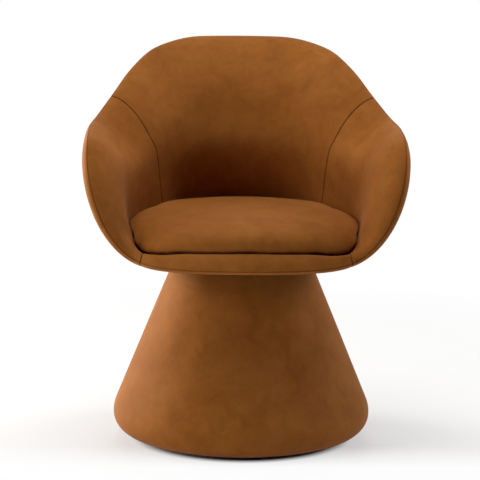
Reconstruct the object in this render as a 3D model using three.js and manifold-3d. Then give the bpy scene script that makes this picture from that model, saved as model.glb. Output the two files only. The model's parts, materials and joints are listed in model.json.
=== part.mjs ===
// A pedestal swivel armchair, in millimetres, +Z up, with its front facing -Y.
// A padded tub with a seat cushion turns on a ball-bearing swivel plate on top of a padded cone.

import * as THREE from 'three';
import { mergeVertices } from 'three/addons/utils/BufferGeometryUtils.js';
import Module from 'manifold-3d';

const wasm = await Module();
wasm.setup();

const DEGREE = Math.PI / 180;
const QUARTER_TURN = Math.PI / 2;
const FULL_TURN = Math.PI * 2;

// Clearances
const seatGap = 0.3; // between pieces that lie against each other
const shellTopGap = 1.2; // between the moulded shell's top and the foam that folds over it
const cushionGap = 0.8; // between the cushion and the padded walls round it
const runningGap = 0.15; // between a ball and each plate
const cutOverrun = 5; // how far a cutting tool runs past what it cuts

// Tub, overall
const rimHeight = 798; // top of the back
const beltHeight = 600; // the widest level
const tubBottom = 372; // underside
const tubHalfWidth = 319;
const widestY = -80; // where the plan is widest
const backReach = 340; // from there to the back, at the belt
const frontReach = 499; // from there to the front, if the front went up to the belt
const backSlope = 0.117; // how far the back lies behind for each unit of height above the belt
const shoulderDraw = 35; // how far each side draws in from the belt to the rim

// Tub, how its skin curves
const sideFootShare = 0.59;
const backFootShare = 0.74;
const frontFootShare = 0.217;
const bellyPower = 2;
const footPower = 1.66;
const planBackPower = 2.1;
const planFrontPower = 2.8;
const drawPower = 1.05;
const sweepPower = 1.64;

// Free edge of the tub from the middle of the front, 0, to the middle of the back, 1:
// station, plan angle at the edge, height between underside and rim, plan angle at the foot,
// and how deep the edge seam lies
const edgeShares = [
  [0, -90, 0.024, -90, 0.4],
  [0.1, -69, 0.024, -68, 0.4],
  [0.18, -51, 0.028, -47, 0.42],
  [0.25, -31, 0.05, -30, 0.5],
  [0.32, -22, 0.165, -18, 0.75],
  [0.38, -17.7, 0.335, -9, 0.9],
  [0.43, -14.6, 0.48, -2, 0.85],
  [0.47, -11.6, 0.567, 4, 0.65],
  [0.5, -8.5, 0.608, 9, 0.5],
  [0.54, -2, 0.63, 16, 0.45],
  [0.6, 14, 0.656, 29, 0.45],
  [0.66, 27.5, 0.742, 41, 0.45],
  [0.74, 38.5, 0.859, 55, 0.45],
  [0.82, 51.5, 0.957, 68, 0.45],
  [0.91, 71.5, 1, 79, 0.45],
  [1, 90, 1, 90, 0.45],
];

// Depth of the padded wall at the same stations, low, midway and at the top, how far it rounds off,
// and how far it stands up instead of square to the skin
const padDepth = 100;
const noseLength = 110;
const padShares = [
  [0, 0.4, 0.4, 0.4, 0.13, 0],
  [0.14, 0.37, 0.37, 0.37, 0.13, 0.4],
  [0.2, 0.29, 0.29, 0.3, 0.15, 1.5],
  [0.25, 0.25, 0.26, 0.28, 0.25, 2],
  [0.3, 0.29, 0.41, 0.5, 0.6, 0.8],
  [0.37, 0.4, 0.66, 0.76, 1, 0],
  [0.46, 0.46, 0.8, 0.9, 1.15, 0],
  [0.56, 0.58, 0.96, 0.86, 1.15, 0],
  [0.67, 0.72, 1.15, 0.8, 1, 0],
  [0.84, 0.68, 1.13, 0.6, 1, 0],
  [1, 0.68, 1.13, 0.54, 1, 0],
];
const padLevelShares = [0.25, 0.62, 1];
const padLeastShare = 0.15;
const softLeastShare = 0.12;
const liftStartShare = 0.2; // how far below the edge the standing up is complete

// Seams, as stations of the same line, and the stations that the solids are built on
const borderSeamShare = 0.235;
const backSeamShare = 0.66;
const stationShares = [
  0, 0.09, 0.17, borderSeamShare, 0.28, 0.33, 0.38, 0.43, 0.47,
  0.5, 0.54, 0.6, backSeamShare, 0.74, 0.82, 0.91, 1,
];
const wallRowShares = [0, 0.04, 0.13, 0.3, 0.52, 0.76, 1];

// Tub, its layers from the outside in
const outerCover = 3;
const shellWall = 8;
const innerCover = 2;
const edgeInset = 12; // from the outside to the seam on the edge
const edgeRound = 26; // height of the rounding outside that seam
const edgeSweepShare = 0.8;
const shellTopShare = 0.97;
const longestRoundShare = 0.5;
const edgeSteps = 3;
const edgeLineSteps = 100;
const faceRowShares = [0, 0.03, 0.1, 0.24, 0.45, 0.72]; // from the edge seam down to the cushion

// Seat board, its tee nuts and the holes in the middle
const seatBoardThick = 15;
const seatBoardEdgeGap = 6; // between its edge and the padding round it
const centreHoleRadius = 22;

// Seat cushion
const crownHeight = 487;
const cushionMiddleY = -65;
const cushionBulge = 16; // how far its front swells past the front seam
const cushionSoleShare = 0.92;
const cushionHemShare = 0.8;
const cushionEdgeShares = [
  [0, 0.78],
  [0.2, 0.72],
  [0.27, 0.42],
  [0.34, 0.3],
  [0.42, 0.22],
  [0.5, 0.2],
  [0.62, 0.17],
  [0.8, 0.13],
  [1, 0.12],
];
const cushionSideShares = [1, 0.5, 0];
const crownRowShares = [0.82, 0.64, 0.46, 0.29, 0.13];
const crownRisePower = 0.55;
const crownRunPower = 2;
const bulgeEndShares = [0.2, 0.3];

// Swivel between the cone and the seat
const plateThick = 4;
const ballRadius = 5;
const ballCount = 8;
const ballCircle = 48;
const cageThick = 2;
const cageHalfWidth = 11;
const cageHoleClearance = 0.6;
const lowerPlateRadius = 82;
const upperPlateHalfWidth = 90;
const plateCorner = 14;
const lowerScrewCircle = 70;
const upperBoltOffset = 66;
const fixingCount = 4;

// Pin through the middle of the swivel, with its bushing, washer and nut
const pinRadius = 8;
const pinHeadRadius = 14;
const pinHeadThick = 6;
const pinTail = 4; // length that shows past the nut
const boreClearance = 0.4; // between the pin and a bore round it
const bushingWall = 4;
const bushingFlange = 4;
const bushingFlangeThick = 1;
const washerRadius = 17;
const washerThick = 2;
const nutRadius = 14;
const nutThick = 10;

// Screws of the lower plate, and bolts of the upper plate with their tee nuts
const screwRadius = 2.5;
const screwLength = 16;
const screwHeadRadius = 5;
const screwHeadThick = 3;
const boltRadius = 4;
const boltHeadRadius = 7;
const boltHeadThick = 3.8;
const boltEndGap = 3;
const fixingClearance = 0.4;
const teeBarrelRadius = 6;
const teeFlangeRadius = 11;
const teeFlangeThick = 1.5;

// Cone
const coneRadius = 259;
const coneBottom = 10;
const coneSlope = 0.411; // radius lost for each unit of height
const footRound = 50;
const topRound = 16;
const coneCover = 2;
const conePadding = 6;
const coneWall = 5;
const topFoldRadius = 104; // where the cover ends on top
const hemRadius = 190; // where the cover ends underneath
const topDiscThick = 18;
const footSteps = 4;
const topSteps = 2;

// Bottom board, ribs and glides
const boardLowerFace = 6; // height of its underside, which is also the glides' thickness
const boardUpperThick = 12;
const boardEdgeGap = 2;
const ribCount = 4;
const ribThick = 15;
const ribInner = 34;
const ribEdgeGap = 1.1; // between a rib and the shell's flat facets
const glideCount = 6;
const glideRadius = 12.5;
const glideChamfer = 1;
const glideCircle = 172;
const glideTurn = -30; // degrees from the front to the first glide

// Underside cloth
const dustCoverThick = 1;
const dustCoverInset = 2;

// Fineness of round pieces
const coneSides = 32;
const plateSides = 32;
const pinSides = 24;
const screwSides = 8;
const glideSides = 16;
const hexSides = 6;
const ballSides = 8;
const ballRings = 6;

// Heights that follow from the sizes above
const shellUnder = tubBottom + outerCover + seatGap;
const shellFloorTop = shellUnder + shellWall;
const boardTop = shellFloorTop + seatBoardThick;
const foamDepth = outerCover + seatGap + shellWall + seatGap; // from the outside in to the foam
const upperPlateUnder = shellUnder - plateThick;
const ballCentre = upperPlateUnder - runningGap - ballRadius;
const lowerPlateTop = ballCentre - ballRadius - runningGap;
const topDiscTop = lowerPlateTop - plateThick;
const coneTop = topDiscTop + seatGap + conePadding + seatGap + coneCover;
const slopeAngle = Math.atan(coneSlope);
const shellInset = coneCover + seatGap + conePadding + seatGap;
const flangeTop = coneBottom + shellInset + coneWall;

// Upholstery and structure colours
const finish = (color, roughness, metalness = 0) =>
  new THREE.MeshStandardMaterial({ color, roughness, metalness });
const leather = finish(0x8a5530, 0.62);
const foam = finish(0xe6dcb8, 0.95);
const moulding = finish(0x3a3a3c, 0.6);
const plywood = finish(0xc9a877, 0.75);
const blackBoard = finish(0x141414, 0.7);
const blackCloth = finish(0x101010, 0.95);
const zincSteel = finish(0xb4b6b8, 0.35, 0.9);
const hardSteel = finish(0xd0d2d4, 0.18, 1);
const nylon = finish(0xe8e6df, 0.5);
const glidePlastic = finish(0x0d0d0e, 0.55);

const chair = new THREE.Group();
const base = new THREE.Group();
const ballCage = new THREE.Group();
const seat = new THREE.Group();
chair.add(base, ballCage, seat);

function addPiece(group, name, geometry, material) {
  const mesh = new THREE.Mesh(geometry, material);
  mesh.name = name;
  group.add(mesh);
  return mesh;
}

// Curves and outlines

// A smooth curve through the rows of a table, from the given column, with no overshoot.
function smoothColumn(rows, column) {
  const last = rows.length - 1;
  const slope = (i) => (rows[i + 1][column] - rows[i][column]) / (rows[i + 1][0] - rows[i][0]);
  const tangents = rows.map((row, i) => {
    if (i === 0) return slope(0);
    if (i === last) return slope(last - 1);
    const before = slope(i - 1);
    const after = slope(i);
    return before * after <= 0 ? 0 : (2 * before * after) / (before + after);
  });
  return (at) => {
    let i = 0;
    while (i < last - 1 && at > rows[i + 1][0]) i += 1;
    const width = rows[i + 1][0] - rows[i][0];
    const x = (at - rows[i][0]) / width;
    const start = rows[i][column] * (1 + 2 * x) * (1 - x) ** 2 + tangents[i] * width * x * (1 - x) ** 2;
    const end = rows[i + 1][column] * x * x * (3 - 2 * x) - tangents[i + 1] * width * x * x * (1 - x);
    return start + end;
  };
}

function circlePath(radius, sides, x = 0, y = 0) {
  return Array.from({ length: sides }, (_, i) => {
    const turn = (i / sides) * FULL_TURN;
    return new THREE.Vector2(x + radius * Math.cos(turn), y + radius * Math.sin(turn));
  });
}

const placesOnCircle = (count, radius, startAngle = 0) =>
  circlePath(radius, count).map((point) => point.rotateAround(new THREE.Vector2(), startAngle));

// Solids

const signedVolume = (position, index) => {
  const [a, b, c] = [new THREE.Vector3(), new THREE.Vector3(), new THREE.Vector3()];
  let total = 0;
  for (let i = 0; i < index.length; i += 3) {
    a.fromBufferAttribute(position, index[i]);
    b.fromBufferAttribute(position, index[i + 1]);
    c.fromBufferAttribute(position, index[i + 2]);
    total += a.dot(b.cross(c));
  }
  return total;
};

// A solid from its points and triangles, turned so that its faces point out.
function solidFrom(points, index) {
  const geometry = new THREE.BufferGeometry().setFromPoints(points);
  const outward = signedVolume(geometry.attributes.position, index) > 0;
  geometry.setIndex(outward ? index : index.slice().reverse());
  return geometry;
}

// Faces between matching rows. Each four-sided patch is split the same way on both faces of a wall:
// isCrossed says for a patch whether it takes the other diagonal.
function sideFaces(rowCount, rowLength, isRing, isCrossed) {
  const index = [];
  const spans = isRing ? rowCount : rowCount - 1;
  for (let i = 0; i < spans; i += 1) {
    for (let j = 0; j < rowLength; j += 1) {
      const a = i * rowLength + j;
      const b = i * rowLength + ((j + 1) % rowLength);
      const nextRow = ((i + 1) % rowCount) * rowLength;
      const c = nextRow + ((j + 1) % rowLength);
      const d = nextRow + j;
      index.push(...(isCrossed(i, j) ? [a, b, d, b, c, d] : [a, b, c, a, c, d]));
    }
  }
  return index;
}

// Triangles over a closed outline, all wound the way the outline runs.
function capFaces(outline) {
  const isClockwise = THREE.ShapeUtils.area(outline) < 0;
  return THREE.ShapeUtils.triangulateShape(outline, []).flatMap(([a, b, c]) => {
    const turned = THREE.ShapeUtils.area([outline[a], outline[b], outline[c]]) < 0;
    return turned === isClockwise ? [a, b, c] : [a, c, b];
  });
}

// A solid through matching closed sections, joined end to end as a ring or capped at both ends.
function sectionSolid(sections, isRing) {
  const length = sections[0].points.length;
  const index = sideFaces(sections.length, length, isRing, (i, j) => {
    const levels = sections[i].levels;
    const next = sections[(i + 1) % sections.length];
    const isRising = levels[(j + 1) % length] > levels[j];
    return isRising !== onRight(next.station) > onRight(sections[i].station);
  });
  if (!isRing) {
    const lastRow = (sections.length - 1) * length;
    index.push(...capFaces(seenAlong(sections[0])).reverse());
    index.push(...capFaces(seenAlong(sections[sections.length - 1])).map((i) => i + lastRow));
  }
  return solidFrom(sections.flatMap((section) => section.points), index);
}

// A solid through matching closed rows, each end drawn together to a point.
// Rows from turnRow on run back along the inside of the rows before.
function domedSolid(startPole, rows, endPole, turnRow = rows.length) {
  const length = rows[0].length;
  const index = sideFaces(rows.length, length, false, (i, j) => i >= turnRow === j >= length / 2);
  const startIndex = rows.length * length;
  const lastRow = (rows.length - 1) * length;
  for (let j = 0; j < length; j += 1) {
    const next = (j + 1) % length;
    index.push(startIndex, next, j, startIndex + 1, lastRow + j, lastRow + next);
  }
  return solidFrom([...rows.flat(), startPole, endPole], index);
}

// A turned solid from its half profile of [radius, height] points.
function turned(profile, sides) {
  const points = profile.map(([radius, height]) => new THREE.Vector2(radius, height));
  if (THREE.ShapeUtils.area(points) < 0) points.reverse();
  const isOnAxis = points[0].x === 0 && points[points.length - 1].x === 0;
  if (!isOnAxis) points.push(points[0].clone());
  return new THREE.LatheGeometry(points, sides).rotateX(QUARTER_TURN);
}

// A flat solid from its outline and holes, standing on the given height.
function flatSolid(outline, holes, bottom, thick) {
  const shape = new THREE.Shape(outline);
  shape.holes = holes.map((hole) => new THREE.Path(hole));
  const geometry = new THREE.ExtrudeGeometry(shape, { depth: thick, bevelEnabled: false });
  return geometry.translate(0, 0, bottom);
}

const disc = (radius, bottom, top, sides) =>
  turned([[0, bottom], [radius, bottom], [radius, top], [0, top]], sides);

// One named mesh for each place, numbered from 1.
function addCopies(group, name, places, geometry, material) {
  places.forEach((place, i) => {
    addPiece(group, `${name}_${i + 1}`, geometry.clone().translate(place.x, place.y, 0), material);
  });
}

function toManifold(geometry) {
  const plain = geometry.clone();
  plain.deleteAttribute('normal');
  plain.deleteAttribute('uv');
  const merged = mergeVertices(plain);
  return new wasm.Manifold(new wasm.Mesh({
    numProp: 3,
    vertProperties: new Float32Array(merged.attributes.position.array),
    triVerts: new Uint32Array(merged.index.array),
  }));
}

function cutAway(geometry, tools) {
  const result = tools.reduce((solid, tool) => solid.subtract(toManifold(tool)), toManifold(geometry));
  const mesh = result.getMesh();
  const cut = new THREE.BufferGeometry();
  cut.setAttribute('position', new THREE.BufferAttribute(mesh.vertProperties, 3));
  cut.setIndex(new THREE.BufferAttribute(mesh.triVerts, 1));
  return cut;
}

// The skin of the tub

const edgeAngle = smoothColumn(edgeShares, 1);
const edgeRise = smoothColumn(edgeShares, 2);
const footAngle = smoothColumn(edgeShares, 3);
const seamDepth = smoothColumn(edgeShares, 4);
const padColumns = [1, 2, 3].map((column) => smoothColumn(padShares, column));
const noseShare = smoothColumn(padShares, 4);
const padLift = smoothColumn(padShares, 5);
const cushionEdge = smoothColumn(cushionEdgeShares, 1);
const probeShare = 0.001;

// Stations past 1 are on the left, and so are those below 0.
const isLeft = (station) => station < 0 || station > 1;
const onRight = (station) => (station > 1 ? 2 - station : Math.abs(station));

function bell(height, footShare) {
  const drop = THREE.MathUtils.clamp((beltHeight - height) / (beltHeight - tubBottom), 0, 1);
  return footShare + (1 - footShare) * (1 - drop ** bellyPower) ** (1 / footPower);
}

// A point of the outside at a station, and at a level from the foot, 0, to the free edge, 1.
function skinPoint(station, level) {
  const s = onRight(station);
  const height = tubBottom + (rimHeight - tubBottom) * edgeRise(s) * level;
  const turn = THREE.MathUtils.lerp(footAngle(s), edgeAngle(s), level ** sweepPower) * DEGREE;
  const c = Math.cos(turn);
  const q = Math.sin(turn);
  const power = q < 0 ? planFrontPower : planBackPower;
  const reach = (Math.abs(c) ** power + Math.abs(q) ** power) ** (-1 / power);
  const aboveBelt = (height - beltHeight) / (rimHeight - beltHeight);
  const halfWidth = tubHalfWidth * bell(height, sideFootShare)
    - shoulderDraw * Math.max(aboveBelt, 0) ** drawPower;
  const depth = q < 0
    ? frontReach * bell(height, frontFootShare)
    : backReach * bell(height, backFootShare) + backSlope * (height - beltHeight);
  const x = halfWidth * reach * c * (isLeft(station) ? -1 : 1);
  return new THREE.Vector3(x, widestY + depth * reach * q, height);
}

function skinNormal(station, level) {
  if (level === 0) return new THREE.Vector3(0, 0, -1);
  const along = skinPoint(station + probeShare, level).sub(skinPoint(station - probeShare, level));
  const above = skinPoint(station, level + probeShare);
  const up = above.sub(skinPoint(station, Math.max(level - probeShare, 0)));
  return along.cross(up).normalize();
}

// Padding follows a normal that stays tilted near the foot, so that it never folds over itself.
function inward(station, level, depth, isSoft) {
  const normal = skinNormal(station, isSoft ? Math.max(level, softLeastShare) : level);
  if (isSoft) {
    const lift = padLift(onRight(station)) * Math.min((1 - level) / liftStartShare, 1);
    normal.sub(new THREE.Vector3(0, 0, lift)).normalize();
  }
  return skinPoint(station, level).addScaledVector(normal, -depth);
}

const edgeLine = Array.from({ length: edgeLineSteps + 1 }, (_, i) => skinPoint((2 * i) / edgeLineSteps, 1));

// How far a point of the outside lies from the free edge, eased where the edge turns a corner.
function edgeDistance(station, level) {
  const place = skinPoint(station, level);
  const gaps = edgeLine.map((point) => point.clone().sub(place));
  const pulls = gaps.slice(1).map((far, i) => {
    const near = gaps[i];
    const both = near.length() * far.length();
    return (near.distanceTo(far) * (near.length() + far.length())) / (both * (both + near.dot(far)));
  });
  return Math.sqrt(2 / pulls.reduce((total, pull) => total + pull, 0)) || 0;
}

// The padded wall's whole depth, less a layer, which rolls up from the seam on the free edge.
function wallDepth(station, level, layer = 0, topDistance = 0) {
  const s = onRight(station);
  const [low, mid, top] = padColumns.map((column) => column(s) * padDepth);
  const [a, b, c] = padLevelShares;
  const t = Math.max(level, padLeastShare);
  const full = (low * (t - b) * (t - c)) / ((a - b) * (a - c))
    + (mid * (t - a) * (t - c)) / ((b - a) * (b - c))
    + (top * (t - a) * (t - b)) / ((c - a) * (c - b));
  const run = (edgeDistance(station, level) - topDistance) / (noseLength * noseShare(s) - topDistance);
  const rest = 1 - THREE.MathUtils.clamp(run, 0, 1);
  return THREE.MathUtils.lerp(edgeInset * seamDepth(s) + seatGap, full - layer, Math.sqrt(1 - rest * rest));
}

// Levels at a station where the rounding, the shell's top and the cushion's edge lie.
function levelsAt(station) {
  const span = skinPoint(station, 1).distanceTo(skinPoint(station, 0));
  const roundStart = 1 - Math.min(edgeRound / span, longestRoundShare);
  return {
    station, span, roundStart,
    shellTop: roundStart * shellTopShare,
    inset: edgeInset * seamDepth(onRight(station)),
    cushionTop: cushionEdge(onRight(station)),
  };
}

// The walls' cross sections, as lists of { level, depth, isSoft }

const hard = (level, depth) => ({ level, depth, isSoft: false });
const soft = (level, depth) => ({ level, depth, isSoft: true });

const wallRows = (at, depth) => wallRowShares.map((share) => hard(share * at.shellTop, depth));

// From where the rounding starts up to the edge seam, this far inside the outer face.
function roundRows(at, depth) {
  const sweep = edgeSweepShare * QUARTER_TURN;
  return Array.from({ length: edgeSteps + 1 }, (_, i) => {
    const turn = (i / edgeSteps) * sweep;
    const climb = Math.sin(turn) / Math.sin(sweep);
    const run = (1 - Math.cos(turn)) / (1 - Math.cos(sweep));
    const top = 1 - depth / at.span;
    const level = THREE.MathUtils.lerp(at.roundStart, top, climb);
    return hard(level, THREE.MathUtils.lerp(depth, at.inset, run));
  });
}

// From the edge seam over the padded edge and down the inner face to the foot, this far inside it.
function faceRows(at, depth, topDepth) {
  const top = 1 - topDepth / at.span;
  const topDistance = edgeDistance(at.station, top);
  const face = faceRowShares.map((share) => THREE.MathUtils.lerp(top, at.cushionTop, share));
  const low = cushionSideShares.map((share) => at.cushionTop * share);
  return [...face, ...low].map((level) => soft(level, wallDepth(at.station, level, depth, topDistance)));
}

function sectionAt(at, rows) {
  return {
    station: at.station,
    levels: rows.map((row) => row.level),
    points: rows.map((row) => inward(at.station, row.level, row.depth, row.isSoft)),
  };
}

// The section as it is seen along the wall, which is where its ends are closed.
function seenAlong(section) {
  const out = skinNormal(section.station, padLevelShares[1]).setZ(0).normalize();
  return section.points.map((point) => new THREE.Vector2(point.dot(out), point.z));
}

const outerCoverRows = (at) => [
  ...wallRows(at, 0),
  ...roundRows(at, 0),
  ...roundRows(at, outerCover).reverse(),
  ...wallRows(at, outerCover).reverse(),
];

const innerCoverRows = (at) => [
  ...faceRows(at, 0, 0),
  ...faceRows(at, innerCover, innerCover).reverse(),
];

function foamRows(at) {
  const coverIn = outerCover + seatGap;
  const overShell = at.shellTop + shellTopGap / at.span;
  return [
    ...wallRows(at, foamDepth),
    hard(overShell, foamDepth),
    hard(overShell, coverIn),
    ...roundRows(at, coverIn + seatGap),
    ...faceRows(at, innerCover + seatGap, coverIn),
  ];
}

// Stations from one seam to the next, each end drawn back by half the gap between two panels.
function panelStations(from, to) {
  const ring = [
    ...stationShares.map((s) => -s),
    ...stationShares,
    ...stationShares.map((s) => 2 - s),
  ];
  const between = ring.filter((s) => s > from + probeShare && s < to - probeShare);
  const inside = [...new Set(between)].sort((a, b) => a - b);
  return [from + halfSeam(from), ...inside, to - halfSeam(to)];
}

// Half of the seat gap as a step between stations, where the stations lie closest together.
function halfSeam(station) {
  const lengths = [0, 1].map((level) => {
    const depth = level === 0 ? wallDepth(station, level) : levelsAt(station).inset;
    const ahead = inward(station + probeShare, level, depth, true);
    const behind = inward(station - probeShare, level, depth, true);
    return ahead.distanceTo(behind) / (2 * probeShare);
  });
  return seatGap / 2 / Math.min(...lengths);
}

function wallPanel(from, to, rowsOf) {
  const sections = panelStations(from, to).map((station) => {
    const at = levelsAt(station);
    return sectionAt(at, rowsOf(at));
  });
  return sectionSolid(sections, false);
}

const fullRing = [
  ...stationShares,
  ...stationShares.slice(1, -1).reverse().map((s) => 2 - s),
];

// The moulded shell: its wall, and a floor with a round hole in the middle.
function tubShell() {
  const sections = fullRing.map((station) => {
    const at = levelsAt(station);
    const outer = outerCover + seatGap;
    const rows = [...wallRows(at, outer), ...wallRows(at, outer + shellWall).reverse()];
    const section = sectionAt(at, rows);
    const foot = section.points[0];
    const turn = Math.atan2(foot.y, foot.x);
    const hole = new THREE.Vector3(centreHoleRadius * Math.cos(turn), centreHoleRadius * Math.sin(turn));
    const upper = hole.clone().setZ(shellFloorTop);
    return {
      station,
      levels: [-1, ...section.levels, -1],
      points: [hole.setZ(shellUnder), ...section.points, upper],
    };
  });
  const bore = disc(boltRadius + fixingClearance, shellUnder - cutOverrun, shellFloorTop + cutOverrun, screwSides);
  return cutAway(sectionSolid(sections, true), upperBoltPlaces.map((p) => bore.clone().translate(p.x, p.y, 0)));
}

const upperBoltPlaces = placesOnCircle(fixingCount, upperBoltOffset * Math.SQRT2, QUARTER_TURN / 2);
const lowerScrewPlaces = placesOnCircle(fixingCount, lowerScrewCircle);

// Seat cushion

// Rows of the cushion from near its crown down to its sole.
function cushionRows() {
  const ring = fullRing.map((station) => {
    const at = levelsAt(station);
    return cushionSideShares.map((share) => {
      const level = at.cushionTop * share;
      const point = inward(station, level, wallDepth(station, level) + cushionGap, true);
      return point.setZ(Math.max(point.z, boardTop + seatGap));
    });
  });
  const crownRows = crownRowShares.map((share) => ring.map(([edge], i) => {
    const [bulgeFull, bulgeEnd] = bulgeEndShares;
    const swell = 1 - THREE.MathUtils.smoothstep(onRight(fullRing[i]), bulgeFull, bulgeEnd);
    const toMiddle = new THREE.Vector2(-edge.x, cushionMiddleY - edge.y);
    const out = cushionBulge * swell * Math.sin(share * Math.PI) * (1 - share);
    const step = toMiddle.clone().multiplyScalar(share ** crownRunPower - out / toMiddle.length());
    const height = THREE.MathUtils.lerp(edge.z, crownHeight, Math.sin(share * QUARTER_TURN) ** crownRisePower);
    return new THREE.Vector3(edge.x + step.x, edge.y + step.y, height);
  }));
  const sideRows = cushionSideShares.map((_, k) => ring.map((side) => side[k]));
  const foot = sideRows[sideRows.length - 1];
  return [...crownRows, ...sideRows, soleRow(foot, cushionSoleShare)];
}

const soleRow = (foot, share) => foot.map((point) => new THREE.Vector3(
  point.x * share,
  THREE.MathUtils.lerp(cushionMiddleY, point.y, share),
  boardTop + seatGap,
));

const cushionPole = (height) => new THREE.Vector3(0, cushionMiddleY, height);

// The cushion's rows moved in by the inset, each point square to the surface round it.
function drawnIn(rows, inset) {
  const length = rows[0].length;
  const above = cushionPole(crownHeight);
  const below = cushionPole(boardTop + seatGap);
  return rows.map((row, i) => row.map((point, j) => {
    const upper = i === 0 ? above : rows[i - 1][j];
    const lower = i === rows.length - 1 ? below : rows[i + 1][j];
    const around = row[(j + 1) % length].clone().sub(row[(j + length - 1) % length]);
    const normal = around.cross(upper.clone().sub(lower)).normalize();
    return point.clone().addScaledVector(normal, -inset);
  }));
}

function cushionFoam() {
  const inset = innerCover + seatGap;
  const rows = drawnIn(cushionRows(), inset);
  return domedSolid(cushionPole(crownHeight - inset), rows, cushionPole(boardTop + seatGap + inset));
}

// The cover goes over the foam and ends in a hem underneath.
function cushionCover() {
  const outer = cushionRows();
  const hem = soleRow(outer[outer.length - 1], cushionHemShare);
  const inner = drawnIn(outer, innerCover);
  const innerHem = hem.map((point) => point.clone().setZ(point.z + innerCover));
  const rows = [...outer, hem, innerHem, ...inner.reverse()];
  return domedSolid(cushionPole(crownHeight), rows, cushionPole(crownHeight - innerCover), outer.length);
}

// Seat board

// The board's edge at a station, inside the padding where that comes down to the board.
function boardEdge(station) {
  const outer = inward(station, 0, foamDepth, false);
  const inner = inward(station, 0, wallDepth(station, 0), true);
  const share = THREE.MathUtils.clamp((boardTop + seatGap - outer.z) / (inner.z - outer.z), 0, 1);
  const point = outer.lerp(inner, share);
  const toMiddle = new THREE.Vector2(-point.x, cushionMiddleY - point.y);
  return toMiddle.clone().setLength(seatBoardEdgeGap).add(point);
}

function seatBoard() {
  const outline = fullRing.map(boardEdge);
  const board = flatSolid(outline, [circlePath(centreHoleRadius, pinSides)], shellFloorTop, seatBoardThick);
  const barrelHole = disc(
    teeBarrelRadius + fixingClearance, shellFloorTop - cutOverrun, boardTop + cutOverrun, screwSides,
  );
  const flangeHole = disc(
    teeFlangeRadius + fixingClearance, boardTop - teeFlangeThick - seatGap, boardTop + cutOverrun, screwSides,
  );
  const tools = upperBoltPlaces.flatMap((place) =>
    [barrelHole, flangeHole].map((hole) => hole.clone().translate(place.x, place.y, 0)));
  return cutAway(board, tools);
}

// Underside cloth, from the foot of the tub to the swivel plate
function dustCover() {
  const foot = fullRing.map((station) => {
    const point = skinPoint(station, 0);
    const length = Math.hypot(point.x, point.y);
    return new THREE.Vector2(point.x, point.y).multiplyScalar(1 - dustCoverInset / length);
  });
  const hole = roundedSquare(upperPlateHalfWidth + dustCoverInset, plateCorner);
  return flatSolid(foot, [hole], shellUnder - seatGap - dustCoverThick, dustCoverThick);
}

function roundedSquare(half, corner) {
  const steps = 3;
  return [0, 1, 2, 3].flatMap((quarter) => Array.from({ length: steps + 1 }, (_, i) => {
    const turn = (quarter + i / steps) * QUARTER_TURN;
    const middle = new THREE.Vector2(half - corner, half - corner)
      .rotateAround(new THREE.Vector2(), quarter * QUARTER_TURN);
    return middle.add(new THREE.Vector2(corner * Math.cos(turn), corner * Math.sin(turn)));
  }));
}

// Swivel

function lowerPlate() {
  const holes = [
    circlePath(pinRadius + boreClearance, pinSides),
    ...lowerScrewPlaces.map((p) => circlePath(screwRadius + fixingClearance, screwSides, p.x, p.y)),
  ];
  return flatSolid(circlePath(lowerPlateRadius, plateSides), holes, topDiscTop, plateThick);
}

function upperPlate() {
  const holes = [
    circlePath(pinRadius + boreClearance + bushingWall + seatGap, pinSides),
    ...upperBoltPlaces.map((p) => circlePath(boltRadius + fixingClearance, screwSides, p.x, p.y)),
  ];
  return flatSolid(roundedSquare(upperPlateHalfWidth, plateCorner), holes, upperPlateUnder, plateThick);
}

const ball = () => new THREE.SphereGeometry(ballRadius, ballSides, ballRings)
  .rotateX(QUARTER_TURN).translate(0, 0, ballCentre);

function cage() {
  const rim = [circlePath(ballCircle + cageHalfWidth, plateSides), circlePath(ballCircle - cageHalfWidth, plateSides)];
  const pockets = placesOnCircle(ballCount, ballCircle)
    .map((p) => circlePath(ballRadius + cageHoleClearance, screwSides, p.x, p.y));
  return flatSolid(rim[0], [rim[1], ...pockets], ballCentre - cageThick / 2, cageThick);
}

const washerUnder = shellUnder + seatGap;
const nutUnder = washerUnder + washerThick;
const pinTop = nutUnder + nutThick + pinTail;
const pinHeadTop = topDiscTop - seatGap;

const pin = () => turned([
  [0, pinHeadTop - pinHeadThick],
  [pinHeadRadius, pinHeadTop - pinHeadThick],
  [pinHeadRadius, pinHeadTop],
  [pinRadius, pinHeadTop],
  [pinRadius, pinTop],
  [0, pinTop],
], pinSides);

const ringSolid = (inner, outer, bottom, top, sides) =>
  turned([[inner, bottom], [outer, bottom], [outer, top], [inner, top]], sides);

const washer = () =>
  ringSolid(pinRadius + boreClearance, washerRadius, washerUnder, nutUnder, pinSides);

const nut = () => flatSolid(
  circlePath(nutRadius, hexSides), [circlePath(pinRadius + boreClearance, pinSides)], nutUnder, nutThick,
);

function bushing() {
  const bore = pinRadius + boreClearance;
  const barrel = bore + bushingWall;
  const flangeUnder = upperPlateUnder - bushingFlangeThick;
  return turned([
    [bore, flangeUnder],
    [barrel + bushingFlange, flangeUnder],
    [barrel + bushingFlange, upperPlateUnder],
    [barrel, upperPlateUnder],
    [barrel, shellUnder],
    [bore, shellUnder],
  ], pinSides);
}

// A headed fastener from its shank's end to its head's outer face.
const headed = (shankRadius, shankEnd, headRadius, headUnder, headOuter) => turned([
  [0, shankEnd],
  [shankRadius, shankEnd],
  [shankRadius, headUnder],
  [headRadius, headUnder],
  [headRadius, headOuter],
  [0, headOuter],
], screwSides);

const lowerScrew = () => headed(
  screwRadius, lowerPlateTop - screwLength, screwHeadRadius, lowerPlateTop, lowerPlateTop + screwHeadThick,
);

const upperBolt = () => headed(
  boltRadius, boardTop - boltEndGap, boltHeadRadius, upperPlateUnder, upperPlateUnder - boltHeadThick,
);

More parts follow.
